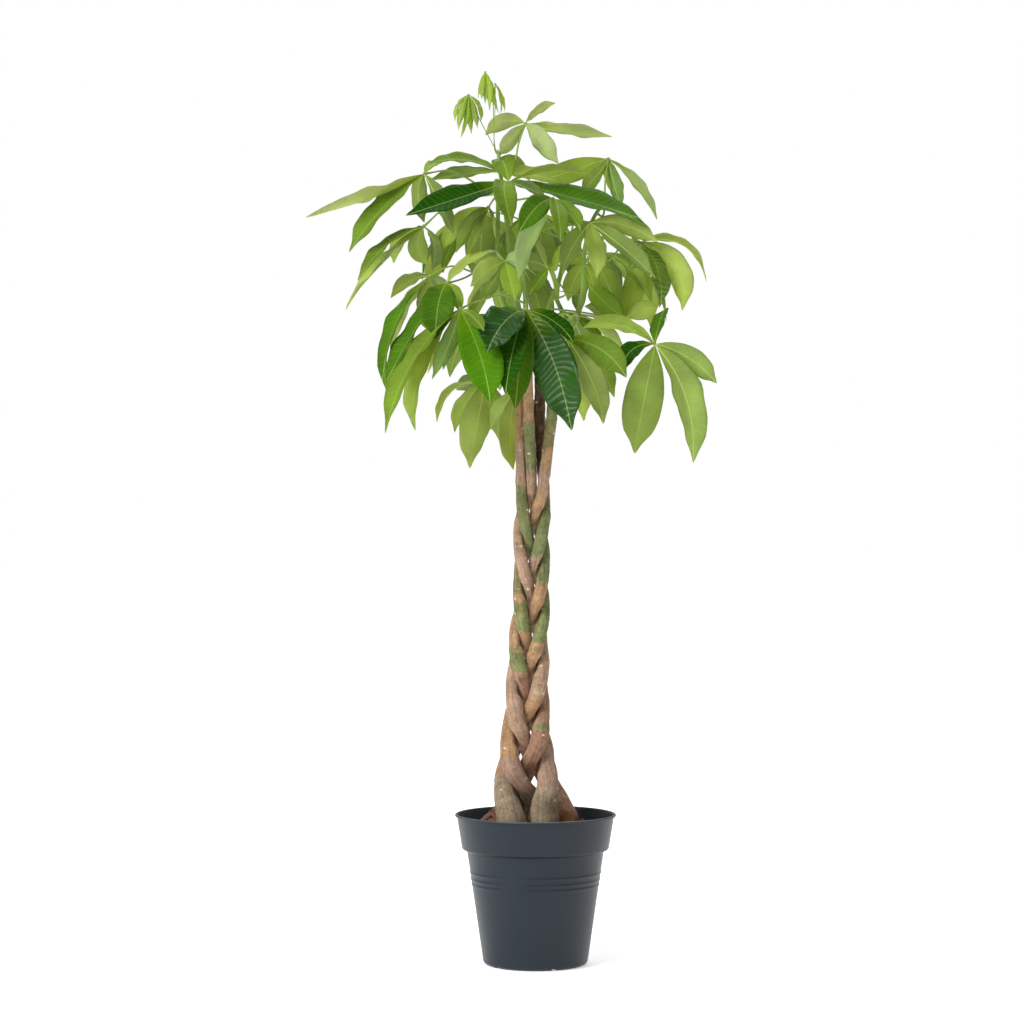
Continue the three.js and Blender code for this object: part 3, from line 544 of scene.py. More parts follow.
def node(tree, kind, inputs=None, stops=(), **settings):
    """Adds a node, sets its properties and a ramp's stops, and links or sets its inputs."""
    new = tree.nodes.new(f"ShaderNode{kind}")
    for name, value in settings.items():
        setattr(new, name, value)
    for i, (place, colour) in enumerate(stops):
        element = new.color_ramp.elements[i]
        element.position = place
        element.color = (*colour, 1.0)
    for key, value in (inputs or {}).items():
        if isinstance(key, int):
            socket = new.inputs[key]
        else:
            socket = next(s for s in new.inputs if s.enabled and s.name == key)
        if isinstance(value, bpy.types.Node):
            value = next(s for s in value.outputs if s.enabled)
        if isinstance(value, bpy.types.NodeSocket):
            tree.links.new(value, socket)
        elif socket.type == "RGBA" and len(value) == 3:
            socket.default_value = (*value, 1.0)
        else:
            socket.default_value = value
    return new


def new_material(name):
    """An empty node material, its tree, and places on the object for its patterns."""
    material = bpy.data.materials.new(name)
    material.use_nodes = True
    tree = material.node_tree
    tree.nodes.clear()
    return material, tree, node(tree, "TexCoord").outputs["Object"]


def at_level(colour, level):
    """A colour made lighter or darker."""
    return [level * c for c in colour]


def deselect():
    """Leaves edit mode and selects nothing."""
    if bpy.context.object and bpy.context.object.mode != "OBJECT":
        bpy.ops.object.mode_set(mode="OBJECT")
    bpy.ops.object.select_all(action="DESELECT")


def pick(pieces):
    """Selects these pieces alone, the first one active."""
    deselect()
    for piece in pieces:
        piece.select_set(True)
    bpy.context.view_layer.objects.active = pieces[0]


def edit_all(piece):
    """Opens a piece in edit mode with all of it selected."""
    pick([piece])
    bpy.ops.object.mode_set(mode="EDIT")
    bpy.ops.mesh.select_all(action="SELECT")


def weld(piece, distance=0.001 * MM):
    """Merges doubles, drops loose edges and turns all faces outwards."""
    edit_all(piece)
    bpy.ops.mesh.remove_doubles(threshold=distance)
    bpy.ops.mesh.delete_loose(use_verts=True, use_edges=True, use_faces=False)
    bpy.ops.mesh.select_all(action="SELECT")
    bpy.ops.mesh.normals_make_consistent(inside=False)
    bpy.ops.object.mode_set(mode="OBJECT")


def join(pieces, name):
    """One object of several."""
    pick(pieces)
    if len(pieces) > 1:
        bpy.ops.object.join()
    whole = bpy.context.object
    whole.name = whole.data.name = name
    return whole


def copy_of(piece):
    """A copy with its own mesh."""
    copy = piece.copy()
    copy.data = piece.data.copy()
    bpy.context.collection.objects.link(copy)
    return copy


def read(items, name):
    """Three numbers for each item of a mesh, as an array."""
    flat = np.empty(3 * len(items))
    items.foreach_get(name, flat)
    return flat.reshape(-1, 3)


def put(piece, points):
    """Moves a mesh's vertices."""
    piece.data.vertices.foreach_set("co", np.ascontiguousarray(points, float).ravel())
    piece.data.update()


def paint(piece, name, values):
    """Keeps three or four numbers for each vertex, for the materials to read."""
    vector = values.shape[1] == 3
    kind = "FLOAT_VECTOR" if vector else "FLOAT_COLOR"
    layer = piece.data.attributes.new(name=name, type=kind, domain="POINT")
    layer.data.foreach_set("vector" if vector else "color", np.ascontiguousarray(values, float).ravel())


def sheet(name, columns, rows):
    """A flat grid, with how far along and across it each vertex is, from 0 to 1."""
    deselect()
    bpy.ops.mesh.primitive_grid_add(x_subdivisions=columns, y_subdivisions=rows, size=2)
    piece = bpy.context.object
    piece.name = piece.data.name = name
    flat = read(piece.data.vertices, "co")
    return piece, (flat[:, 0] + 1) / 2, (flat[:, 1] + 1) / 2


def sheet_for_tube(name, rings, sides):
    """A grid that can be rolled up, with each vertex's ring and side, and whether it is part of
    the pole that closes an end."""
    piece, along, across = sheet(name, rings + 1, sides)
    ring = np.rint(along * (rings + 1)).astype(int) - 1
    side = np.rint(across * sides).astype(int)
    return piece, np.clip(ring, 0, rings - 1), side, (ring < 0) | (ring >= rings)


def unit(vectors):
    """Vectors of length 1."""
    return vectors / np.maximum(np.linalg.norm(vectors, axis=-1, keepdims=True), 1e-9)


def tube(name, route, radii, sides):
    """A closed round tube: a grid rolled up round a route."""
    tangents = unit(np.gradient(route, axis=0))
    firsts = [unit(np.cross(tangents[0], UP if abs(tangents[0][2]) < 0.9 else (1.0, 0.0, 0.0)))]
    for tangent in tangents[1:]:
        firsts.append(unit(firsts[-1] - tangent * np.dot(firsts[-1], tangent)))
    firsts = np.array(firsts)
    seconds = np.cross(tangents, firsts)
    piece, ring, side, pole = sheet_for_tube(name, len(route), sides)
    radius = np.where(pole, 0.0, np.asarray(radii, float)[ring])[:, None]
    angle = (-2 * np.pi * side / sides)[:, None]
    offset = firsts[ring] * np.cos(angle) + seconds[ring] * np.sin(angle)
    put(piece, (route[ring] + radius * offset) * MM)
    return piece


def smooth_route(points, count):
    """Evenly spaced points on a smooth curve through the given ones."""
    given = np.array(points, float)
    given = np.vstack([2 * given[0] - given[1], given, 2 * given[-1] - given[-2]])
    share = np.linspace(0, 1, CURVE_SPOTS)[:, None]
    dense = []
    for i in range(1, len(given) - 2):
        a, b, c, d = given[i - 1:i + 3]
        before, here, after = (np.linalg.norm(v) ** 0.5 for v in (b - a, c - b, d - c))
        leave = ((b - a) / before - (c - a) / (before + here) + (c - b) / here) * here
        arrive = ((c - b) / here - (d - b) / (here + after) + (d - c) / after) * here
        dense.append(
            b + leave * share + (3 * (c - b) - 2 * leave - arrive) * share ** 2
            + (2 * (b - c) + leave + arrive) * share ** 3
        )
    dense = np.vstack(dense)
    steps = np.linalg.norm(np.diff(dense, axis=0), axis=1)
    lengths = np.concatenate([[0], np.cumsum(steps)])
    wanted = np.linspace(0, lengths[-1], count)
    return np.column_stack([np.interp(wanted, lengths, dense[:, k]) for k in range(3)])


def apply_modifier(piece, kind, **settings):
    """Adds a modifier with its settings and applies it."""
    modifier = piece.modifiers.new(kind.lower(), kind)
    for key, value in settings.items():
        setattr(modifier, key, value)
    pick([piece])
    bpy.ops.object.modifier_apply(modifier=modifier.name)


def smooth(piece, degrees):
    """Smooth shading, except over edges sharper than this."""
    pick([piece])
    bpy.ops.object.shade_smooth_by_angle(angle=math.radians(degrees))


def finish_piece(piece, materials, nodes):
    """Gives a piece its materials and its body, and hides the solids that it stands for."""
    for material in materials:
        piece.data.materials.append(material)
    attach(piece, BODY)
    if nodes:
        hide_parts(*nodes)


# ---- Materials. A noise's features are about half its scale ----


def backlit_acrylic(settings):
    """White acrylic sheet, lit from below: a plain pale floor that stays bright."""
    material, tree, place = new_material("backlit_acrylic")
    # Faint clouds of about 20 mm.
    clouds = node(tree, "TexNoise", {"Vector": place, "Scale": 1 / (40 * MM), "Detail": 4.0})
    shade = node(tree, "Mix", {
        "Factor": clouds, "A": at_level(settings.floor_colour, 0.99), "B": settings.floor_colour[:],
    }, data_type="RGBA")
    surface = node(tree, "BsdfPrincipled", {
        "Base Color": shade, "Roughness": 0.9,
        "Emission Color": WHITE, "Emission Strength": settings.floor_glow,
    })
    node(tree, "OutputMaterial", {"Surface": surface})
    return material


def moulded_polypropylene(settings):
    """Injection-moulded polypropylene: an even satin sheen, faint flow streaks, a lip that is paler in
    patches.
    """
    material, tree, place = new_material("moulded_polypropylene")
    # Flow streaks run up the wall: about 8 mm wide and ten times as long.
    flow = node(tree, "Mapping", {"Vector": place, "Scale": (1 / (16 * MM), 1 / (16 * MM), 1 / (160 * MM))})
    streaks = node(tree, "TexNoise", {"Vector": flow, "Scale": 1.0, "Detail": 3.0})
    plastic = settings.plastic_colour
    body = node(tree, "Mix", {
        "Factor": streaks, "A": at_level(plastic, 0.88), "B": at_level(plastic, 1.1),
    }, data_type="RGBA")
    # The lip is paler over its last 2 mm, in patches of about 6 mm.
    height = node(tree, "SeparateXYZ", {0: place}).outputs["Z"]
    near_lip = node(tree, "MapRange", {
        "Value": height, 1: (POT_HEIGHT - 2.2) * MM, 2: (POT_HEIGHT - 0.4) * MM,
    })
    patches = node(tree, "TexNoise", {"Vector": place, "Scale": 1 / (12 * MM), "Detail": 5.0})
    paler_lip_share = node(tree, "Math", {0: near_lip, 1: patches}, operation="MULTIPLY")
    colour = node(tree, "Mix", {
        "Factor": paler_lip_share, "A": body, "B": settings.pale_lip_colour[:],
    }, data_type="RGBA")
    # Fine spark-eroded grain, drawn at 0.8 mm, coarser than the real 0.2 mm so that it shows.
    grain = node(tree, "TexNoise", {"Vector": place, "Scale": 1 / (1.5 * MM), "Detail": 2.0})
    bump = node(tree, "Bump", {"Strength": 0.12, "Distance": 0.2 * MM, "Height": grain})
    gloss = node(tree, "MapRange", {
        "Value": streaks, 3: settings.roughness - 0.05, 4: settings.roughness + 0.07,
    })
    surface = node(tree, "BsdfPrincipled", {
        "Base Color": colour, "Roughness": gloss, "IOR": 1.49, "Specular IOR Level": 0.35, "Normal": bump,
    })
    node(tree, "OutputMaterial", {"Surface": surface})
    return material


def peat_compost(settings):
    """Loose peat compost: matt, reddish brown, darker where moist, with pale fibres."""
    material, tree, place = new_material("peat_compost")
    # Moist patches of about 12 mm, and grains of about 2.5 mm.
    moist = node(tree, "TexNoise", {
        "Vector": place, "Scale": 1 / (25 * MM), "Detail": 6.0, "Roughness": 0.7,
    })
    grains = node(tree, "TexVoronoi", {"Vector": place, "Scale": 1 / (2.5 * MM)})
    mixed = node(tree, "Math", {0: grains, 1: 0.6, 2: moist}, operation="MULTIPLY_ADD")
    stops = ((0.45, settings.dark_colour[:]), (1.0, settings.light_colour[:]))
    colour = node(tree, "ValToRGB", {0: mixed}, stops)
    bump = node(tree, "Bump", {"Strength": 0.7, "Distance": 1.0 * MM, "Height": mixed})
    surface = node(tree, "BsdfPrincipled", {"Base Color": colour, "Roughness": 0.95, "Normal": bump})
    node(tree, "OutputMaterial", {"Surface": surface})
    return material


def young_bark(settings):
    """Thin living bark: matt and blotched, with dark specks, cracks along and round the stem, pale
    raised scars, and painted shade in the creases where the stems press together."""
    material, tree, place = new_material("young_bark")
    tint = node(tree, "Attribute", attribute_name="bark_colour")
    wrap = node(tree, "Attribute", attribute_name="bark_place").outputs["Vector"]
    # Blotches of about 10 mm, and mottling of about 2 mm.
    blotches = node(tree, "TexNoise", {
        "Vector": place, "Scale": 1 / (20 * MM), "Detail": 5.0, "Roughness": 0.7,
    })
    mottling = node(tree, "TexNoise", {
        "Vector": place, "Scale": 1 / (4 * MM), "Detail": 4.0, "Roughness": 0.7,
    })
    # Cracks: about 2 mm apart round the stem and ten times as long along it.
    along = node(tree, "Mapping", {"Vector": wrap, "Scale": (1 / (34 * MM), 1 / (3.4 * MM), 1.0)})
    cracks = node(tree, "TexNoise", {"Vector": along, "Scale": 1.0, "Detail": 5.0, "Roughness": 0.65})
    blotch_level = node(tree, "MapRange", {"Value": blotches, 1: 0.3, 2: 0.7, 3: 0.66, 4: 1.26})
    mottle_level = node(tree, "MapRange", {"Value": mottling, 1: 0.32, 2: 0.68, 3: 0.78, 4: 1.2})
    crack_level = node(tree, "MapRange", {"Value": cracks, 1: 0.34, 2: 0.56, 3: 0.72, 4: 1.06})
    two_levels = node(tree, "Math", {0: blotch_level, 1: mottle_level}, operation="MULTIPLY")
    level = node(tree, "Math", {0: two_levels, 1: crack_level}, operation="MULTIPLY")
    # Tan shows through the other colours in patches of about 7 mm.
    wear = node(tree, "TexNoise", {
        "Vector": wrap, "Scale": 1 / (14 * MM), "Detail": 5.0, "Roughness": 0.7,
    })
    wear_share = node(tree, "MapRange", {"Value": wear, 1: 0.48, 2: 0.68, 3: 0.0, 4: 0.5})
    worn = node(tree, "Mix", {"Factor": wear_share, "A": tint, "B": settings.tan[:]}, data_type="RGBA")
    shaded = node(tree, "VectorMath", {0: worn, "Scale": level}, operation="SCALE")
    # Dark specks of 1 to 3 mm, and painted shade in the creases between the stems, where the alpha says a
    # stem is pressed.
    specks = node(tree, "TexNoise", {
        "Vector": place, "Scale": 1 / (6 * MM), "Detail": 6.0, "Roughness": 0.8,
    })
    speck_share = node(tree, "MapRange", {"Value": specks, 1: 0.56, 2: 0.7, 3: 0.0, 4: 0.75})
    crease_painted_shade = node(tree, "MapRange", {
        "Value": tint.outputs["Alpha"], 1: 0.35, 2: 0.9, 3: 0.95, 4: 0.0,
    })
    speck_and_painted_shade_share = node(tree, "Math", {0: speck_share, 1: crease_painted_shade}, operation="MAXIMUM")
    specked_and_painted_shade = node(tree, "Mix", {
        "Factor": speck_and_painted_shade_share, "A": shaded, "B": settings.speck_and_painted_shade_colour[:],
    }, data_type="RGBA")
    # Scars lie across the stem, up to about 3 by 5 mm, in a few of the cells of 15 by 22 mm.
    cells = node(tree, "Mapping", {"Vector": wrap, "Scale": (1 / (15 * MM), 1 / (22 * MM), 1.0)})
    dots = node(tree, "TexVoronoi", {"Vector": cells, "Scale": 1.0})
    scars = node(tree, "MapRange", {"Value": dots, 1: 0.14, 2: 0.08, 3: 0.0, 4: 0.9})
    scarred = node(tree, "Mix", {
        "Factor": scars, "A": specked_and_painted_shade, "B": settings.scar_colour[:],
    }, data_type="RGBA")
    # Mottling and cracks are in relief, specks are pits and scars are raised.
    fine = node(tree, "Math", {0: mottling, 1: 0.8, 2: cracks}, operation="MULTIPLY_ADD")
    pitted = node(tree, "Math", {0: speck_share, 1: -0.35, 2: fine}, operation="MULTIPLY_ADD")
    raised = node(tree, "Math", {0: scars, 1: 0.4, 2: pitted}, operation="MULTIPLY_ADD")
    bump = node(tree, "Bump", {"Strength": 0.8, "Distance": 1.2 * MM, "Height": raised})
    surface = node(tree, "BsdfPrincipled", {
        "Base Color": scarred, "Roughness": 0.78, "Specular IOR Level": 0.3, "Normal": bump,
    })
    node(tree, "OutputMaterial", {"Surface": surface})
    return material


def living_leaf(name, tint_name, settings, rib_share, vein_share, gloss, glow):
    """One side of a leaflet: its own green, a paler rib and side veins with the blade bulging
    between them, painted shade in the grooves of a corrugated leaflet, cloudy patches, a margin
    that dries brown, and light coming through."""
    material, tree, place = new_material(name)
    tint = node(tree, "Attribute", attribute_name=tint_name)
    # Where a place is on the blade: its row of side veins, its distance from the rib, and how
    # strongly the veins stand out. Then its shares of the way to the tip and to the edge.
    blade = node(tree, "Attribute", attribute_name="blade").outputs["Vector"]
    blade_parts = node(tree, "SeparateXYZ", {0: blade})
    relief = blade_parts.outputs["Z"]
    spot = node(tree, "Attribute", attribute_name="spot").outputs["Vector"]
    spot_parts = node(tree, "SeparateXYZ", {0: spot})
    # A side vein is about 0.7 mm wide, drawn at about 1 mm so that it shows.
    saw = node(tree, "Math", {0: blade_parts, 1: 0.5}, operation="PINGPONG")
    side_veins = node(tree, "MapRange", {
        "Value": saw, 1: 0.0, 2: 0.12, 3: 1.0, 4: 0.0,
    }, interpolation_type="SMOOTHSTEP")
    # On a plain leaflet they are pale lines; on a corrugated one painted shade darkens the grooves, which
    # shine more.
    paleness = node(tree, "MapRange", {"Value": relief, 1: PLAIN, 2: CORRUGATED, 3: vein_share, 4: 0.0})
    faint = node(tree, "Math", {0: side_veins, 1: paleness}, operation="MULTIPLY")
    groove_shade_strength = node(tree, "MapRange", {"Value": relief, 1: PLAIN, 2: CORRUGATED, 3: 0.0, 4: 0.5})
    groove_painted_shade = node(tree, "Math", {0: side_veins, 1: groove_shade_strength}, operation="MULTIPLY")
    shine = node(tree, "MapRange", {"Value": relief, 1: PLAIN, 2: CORRUGATED, 3: 0.03, 4: 0.45})
    aside = node(tree, "Math", {0: blade_parts.outputs["Y"]}, operation="ABSOLUTE")
    rib = node(tree, "MapRange", {
        "Value": aside, 1: 0.3 * MM, 2: 1.1 * MM, 3: rib_share, 4: 0.0,
    }, interpolation_type="SMOOTHSTEP")
    veins = node(tree, "Math", {0: rib, 1: faint}, operation="MAXIMUM")
    # Cloudy patches of about 25 mm, and a blade that is darker at its edge and yellower at its base.
    clouds = node(tree, "TexNoise", {"Vector": place, "Scale": 1 / (50 * MM), "Detail": 3.0})
    cloud_level = node(tree, "MapRange", {"Value": clouds, 1: 0.3, 2: 0.7, 3: 0.82, 4: 1.14})
    across = node(tree, "Math", {0: spot_parts.outputs["Y"]}, operation="ABSOLUTE")
    edge_level = node(tree, "MapRange", {"Value": across, 3: 1.08, 4: 0.94})
    level = node(tree, "Math", {0: cloud_level, 1: edge_level}, operation="MULTIPLY")
    body = node(tree, "VectorMath", {0: tint, "Scale": level}, operation="SCALE")
    near_base = node(tree, "MapRange", {"Value": spot_parts, 1: 0.0, 2: 0.3, 3: 0.45, 4: 0.0})
    # The margin dries to a thin brown line in places, but not on a young leaflet.
    grown = node(tree, "MapRange", {"Value": relief, 1: 0.0, 2: PLAIN, 4: 0.6})
    margin = node(tree, "MapRange", {"Value": across, 1: 0.93, 2: 0.99, 4: grown})
    dry = node(tree, "MapRange", {"Value": clouds, 1: 0.54, 2: 0.64})
    dry_margin = node(tree, "Math", {0: margin, 1: dry}, operation="MULTIPLY")
    # In turn: a yellower base, painted shade in the grooves, paler veins and a dry brown margin.
    colour = body
    for share, other in (
        (near_base, settings.yellowish[:]),
        (groove_painted_shade, at_level(settings.dark, 0.4)),
        (veins, settings.vein_colour[:]),
        (dry_margin, settings.margin_colour[:]),
    ):
        colour = node(tree, "Mix", {"Factor": share, "A": colour, "B": other}, data_type="RGBA")
    # The blade swells between its veins, by about half a millimetre, and undulates every 11 mm.
    swell = node(tree, "Math", {0: saw, 1: relief}, operation="MULTIPLY")
    sunk = node(tree, "Math", {0: rib, 1: -0.6, 2: swell}, operation="MULTIPLY_ADD")
    wrinkles = node(tree, "TexNoise", {"Vector": place, "Scale": 1 / (22 * MM), "Detail": 1.0})
    height = node(tree, "Math", {0: wrinkles, 1: 1.5, 2: sunk}, operation="MULTIPLY_ADD")
    bump = node(tree, "Bump", {"Strength": 0.45, "Distance": 1.0 * MM, "Height": height})
    waxy = node(tree, "BsdfPrincipled", {
        "Base Color": colour, "Roughness": gloss, "IOR": 1.45, "Specular IOR Level": shine, "Normal": bump,
    })
    # Light that comes through is brighter and yellower.
    lit = node(tree, "VectorMath", {0: colour, 1: (1.8, 1.62, 1.0)}, operation="MULTIPLY")
    through = node(tree, "BsdfTranslucent", {"Color": lit, "Normal": bump})
    both = node(tree, "MixShader", {0: glow, 1: waxy, 2: through})
    node(tree, "OutputMaterial", {"Surface": both})
    return material


def green_stalk(settings):
    """Young green stem: smooth and slightly waxy, redder where the sun reached it."""
    material, tree, place = new_material("green_stalk")
    flush = node(tree, "TexNoise", {"Vector": place, "Scale": 1 / (60 * MM), "Detail": 3.0})
    stops = ((0.45, settings.stalk_colour[:]), (0.85, settings.margin_colour[:]))
    colour = node(tree, "ValToRGB", {0: flush}, stops)
    # Fine grain of about 1 mm.
    grain = node(tree, "TexNoise", {"Vector": place, "Scale": 1 / (2 * MM), "Detail": 2.0})
    bump = node(tree, "Bump", {"Strength": 0.3, "Distance": 0.2 * MM, "Height": grain})
    surface = node(tree, "BsdfPrincipled", {"Base Color": colour, "Roughness": 0.42, "Normal": bump})
    node(tree, "OutputMaterial", {"Surface": surface})
    return material


# ---- Pot and soil ----


def arc(middle, radius, start, end, count=CORNER_POINTS):
    """Points on an arc, from one angle in degrees to another."""
    angles = np.radians(np.linspace(start, end, count))
    return [(middle[0] + radius * math.cos(a), middle[1] + radius * math.sin(a)) for a in angles]


def spun(name, outline, steps):
    """A closed outline of radii and heights, spun once round the axis."""
    deselect()
    bpy.ops.mesh.primitive_circle_add(vertices=len(outline), radius=1)
    piece = bpy.context.object
    piece.name = piece.data.name = name
    put(piece, np.array([(radius, 0.0, z) for radius, z in outline]) * MM)
    edit_all(piece)
    bpy.ops.mesh.spin(steps=steps, angle=2 * math.pi, center=(0, 0, 0), axis=(0, 0, 1))
    bpy.ops.object.mode_set(mode="OBJECT")
    weld(piece, 0.01 * MM)
    return piece


def inner_wall(gap):
    """The section of the pot's inside, from the collar's foot down, or of what fills it."""
    return [
        (COLLAR_FOOT_RADIUS - WALL - gap, COLLAR_FOOT_HEIGHT + gap),
        (BODY_TOP_RADIUS - WALL - gap, BODY_TOP_HEIGHT),
        (FOOT_RADIUS - WALL - gap, FOOT_CORNER + FLOOR),
        (FOOT_RADIUS - FOOT_CORNER - gap, FLOOR + gap),
        (0.0, FLOOR + gap),
    ]


def pot_outline():
    """The pot's section: foot, ribs, collar and lip outside, plain walls inside."""
    outline = [(0.0, 0.0)]
    outline += arc((FOOT_RADIUS - FOOT_CORNER, FOOT_CORNER), FOOT_CORNER, -90, 0)
    for rib in RIB_HEIGHTS:
        for share in np.linspace(-1, 1, RIB_POINTS):
            z = rib + share * RIB_HALF_WIDTH
            body = np.interp(z, (FOOT_CORNER, BODY_TOP_HEIGHT), (FOOT_RADIUS, BODY_TOP_RADIUS))
            outline.append((body + RIB_RISE * math.cos(share * math.pi / 2) ** 2, z))
    outline.append((BODY_TOP_RADIUS, BODY_TOP_HEIGHT - LEDGE_DEPTH))
    outline.append((BODY_TOP_RADIUS + LEDGE_WIDTH, BODY_TOP_HEIGHT))
    corner = (COLLAR_FOOT_RADIUS - COLLAR_CORNER, BODY_TOP_HEIGHT + COLLAR_RISE + COLLAR_CORNER)
    outline += arc(corner, COLLAR_CORNER, -90, -8, CORNER_POINTS - 1)
    outline.append((COLLAR_TOP_RADIUS - NECK_STEP, POT_HEIGHT - LIP_DEPTH - NECK_DEPTH))
    outline.append((COLLAR_TOP_RADIUS + NECK_STEP, POT_HEIGHT - LIP_DEPTH))
    lip = LIP_DEPTH / 2
    outline += arc((RIM_RADIUS - lip, POT_HEIGHT - lip), lip, -45, 90)
    outline.append((RIM_RADIUS - LIP_WIDTH, POT_HEIGHT - LIP_DROP))
    outline.append((COLLAR_TOP_RADIUS - WALL, POT_HEIGHT - LIP_DEPTH))
    return outline + inner_wall(0.0)


def make_pot():
    """The spun shell, with drainage channels and holes in its floor cut in block by block."""
    pot = spun("pot_shell", pot_outline(), POT_STEPS)
    length = FOOT_RADIUS + FOOT_CORNER - DRAIN_START
    for i in range(DRAIN_COUNT):
        turn = math.radians(DRAIN_TURN + 360 * i / DRAIN_COUNT)
        for place, size in (
            (DRAIN_START + length / 2, (length, DRAIN_WIDTH, 2 * DRAIN_DEPTH)),
            (DRAIN_HOLE_PLACE, (DRAIN_HOLE, DRAIN_HOLE, DRAIN_HOLE_DEPTH)),
        ):
            deselect()
            bpy.ops.mesh.primitive_cube_add(
                size=MM, location=(place * MM * math.cos(turn), place * MM * math.sin(turn), 0),
                rotation=(0, 0, turn), scale=size,
            )
            block = bpy.context.object
            apply_modifier(pot, "BOOLEAN", operation="DIFFERENCE", object=block, solver="EXACT")
            bpy.data.objects.remove(block)
    smooth(pot, degrees=32)
    return pot


def soil_height(x, y):
    """How high the soil stands: a low mound, with a heap against two of the stems."""
    height = np.interp(np.hypot(x, y), *zip(*SOIL_PROFILE))
    for middle_x, middle_y, top, slope in HEAPS:
        height = np.maximum(height, top - slope * np.hypot(x - middle_x, y - middle_y))
    return height


def make_soil():
    """The mound, spun, heaped and then roughened on top."""
    radii = np.append(np.arange(0.0, SOIL_RADIUS, SOIL_RING), SOIL_RADIUS)
    heights = np.interp(radii, *zip(*SOIL_PROFILE))
    soil = spun("soil_mound", list(zip(radii, heights)) + inner_wall(GAP), SOIL_STEPS)
    points = read(soil.data.vertices, "co")
    for i in np.flatnonzero(points[:, 2] > SOIL_TOP_FROM * MM):
        place = Vector(points[i])
        rough = noise.fractal(place / (SOIL_GRAIN_SIZE * MM), 0.7, 2.1, SOIL_OCTAVES)
        rough += SOIL_LUMP_SHARE * noise.noise(place / (SOIL_LUMP_SIZE * MM))
        to_edge = SOIL_RADIUS - math.hypot(*points[i][:2]) / MM
        rough *= SOIL_GRAIN * min(1.0, to_edge / SOIL_EVEN_EDGE)
        points[i][2] = (soil_height(*points[i][:2] / MM) + rough) * MM
    put(soil, points)
    smooth(soil, degrees=60)
    return soil


def make_crumbs(crumb_size, draw):
    """Loose crumbs and bits of bark on the mound, copied from one rough lump."""
    deselect()
    bpy.ops.mesh.primitive_ico_sphere_add(subdivisions=1, radius=0.5)
    lump = bpy.context.object
    shape = read(lump.data.vertices, "co")
    crumbs = []
    for _ in range(CRUMB_COUNT):
        radius = CRUMB_REACH * math.sqrt(draw.random())
        turn = 2 * math.pi * draw.random()
        x, y = radius * math.cos(turn), radius * math.sin(turn)
        size = crumb_size * (CRUMB_LEAST + (1 - CRUMB_LEAST) * draw.random() ** 3)
        squash = CRUMB_FLATTEST + (CRUMB_WIDEST - CRUMB_FLATTEST) * draw.random(3)
        jitter = 1 + CRUMB_JITTER * (draw.random(len(shape)) - 0.5)
        middle = (x * MM, y * MM, soil_height(x, y) * MM + CRUMB_LIFT * size)
        crumbs.append(copy_of(lump))
        put(crumbs[-1], shape * jitter[:, None] * size * squash + middle)
    bpy.data.objects.remove(lump)
    whole = join(crumbs, "soil_crumbs")
    smooth(whole, degrees=60)
    return whole


# ---- Stems ----


def stem_middle(stem, z):
    """Where a stem's middle is at each height: a figure of eight up to the braid's top, then
    straight to its own bend and cut top."""
    low = np.minimum(z, BRAID_TOP)
    eased = BRAID_BOTTOM + BRAID_EASE * np.logaddexp(0, (low - BRAID_BOTTOM) / BRAID_EASE)
    tucks = (FIRST_TUCK - np.minimum(eased, BRAID_TOP)) / TUCK_SPACING
    angle = np.radians(270 + 360 / STEM_COUNT * stem + DEGREES_PER_TUCK * tucks)
    middle = np.interp(low, TRUNK[0], TRUNK[1])
    reach = np.interp(low, TRUNK[0], TRUNK[2])
    braid = np.stack([middle + reach * np.cos(angle), -reach * np.sin(2 * angle)], axis=-1)
    bend, top = STEM_TOPS[stem]
    levels = (BRAID_TOP, bend[2], top[2])
    shift = [np.interp(z, levels, (0, bend[k], top[k])) for k in range(2)]
    start = np.interp(z, levels, (1, 0, 0))
    return braid * start[..., None] + np.stack(shift, axis=-1)


def stem_radius(stem, z, angles):
    """A stem's radius at each height and angle: round, and flattened where it meets another."""
    own = np.interp(z, TRUNK[0], TRUNK[3])[:, None] / 2
    own = own + BARK_SWELL + np.interp(z, FLARE_HEIGHTS, (FLARE, 0))[:, None]
    rays = np.stack([np.cos(angles), np.sin(angles)])
    weight = np.exp(-np.repeat(own, len(angles), axis=1) / STEM_SOFTNESS)
    for other in range(STEM_COUNT):
        if other == stem:
            continue
        nearest = np.full((len(z), len(angles)), np.inf)
        for offset in PRESS_LEVELS:
            away = stem_middle(other, z + offset) - stem_middle(stem, z + offset)
            reach = np.linalg.norm(away, axis=1) / 2 - STEM_GAP / 2
            facing = unit(away) @ rays
            limit = reach[:, None] / np.maximum(facing, PRESS_LEAST)
            nearest = np.minimum(nearest, np.where(facing > PRESS_LEAST, limit, np.inf))
        weight = weight + np.exp(-nearest / STEM_SOFTNESS)
    return -STEM_SOFTNESS * np.log(weight)


def bark_colours(stem, heights, colours):
    """The colour of a stem's bark at each vertex, from its bands."""
    starts = np.array([start for start, _ in BARK_BANDS[stem]])
    band = np.clip(np.searchsorted(starts, heights, side="right") - 1, 0, len(starts) - 1)
    table = np.array([(*colours[name], 1.0) for _, name in BARK_BANDS[stem]])
    return table[band]


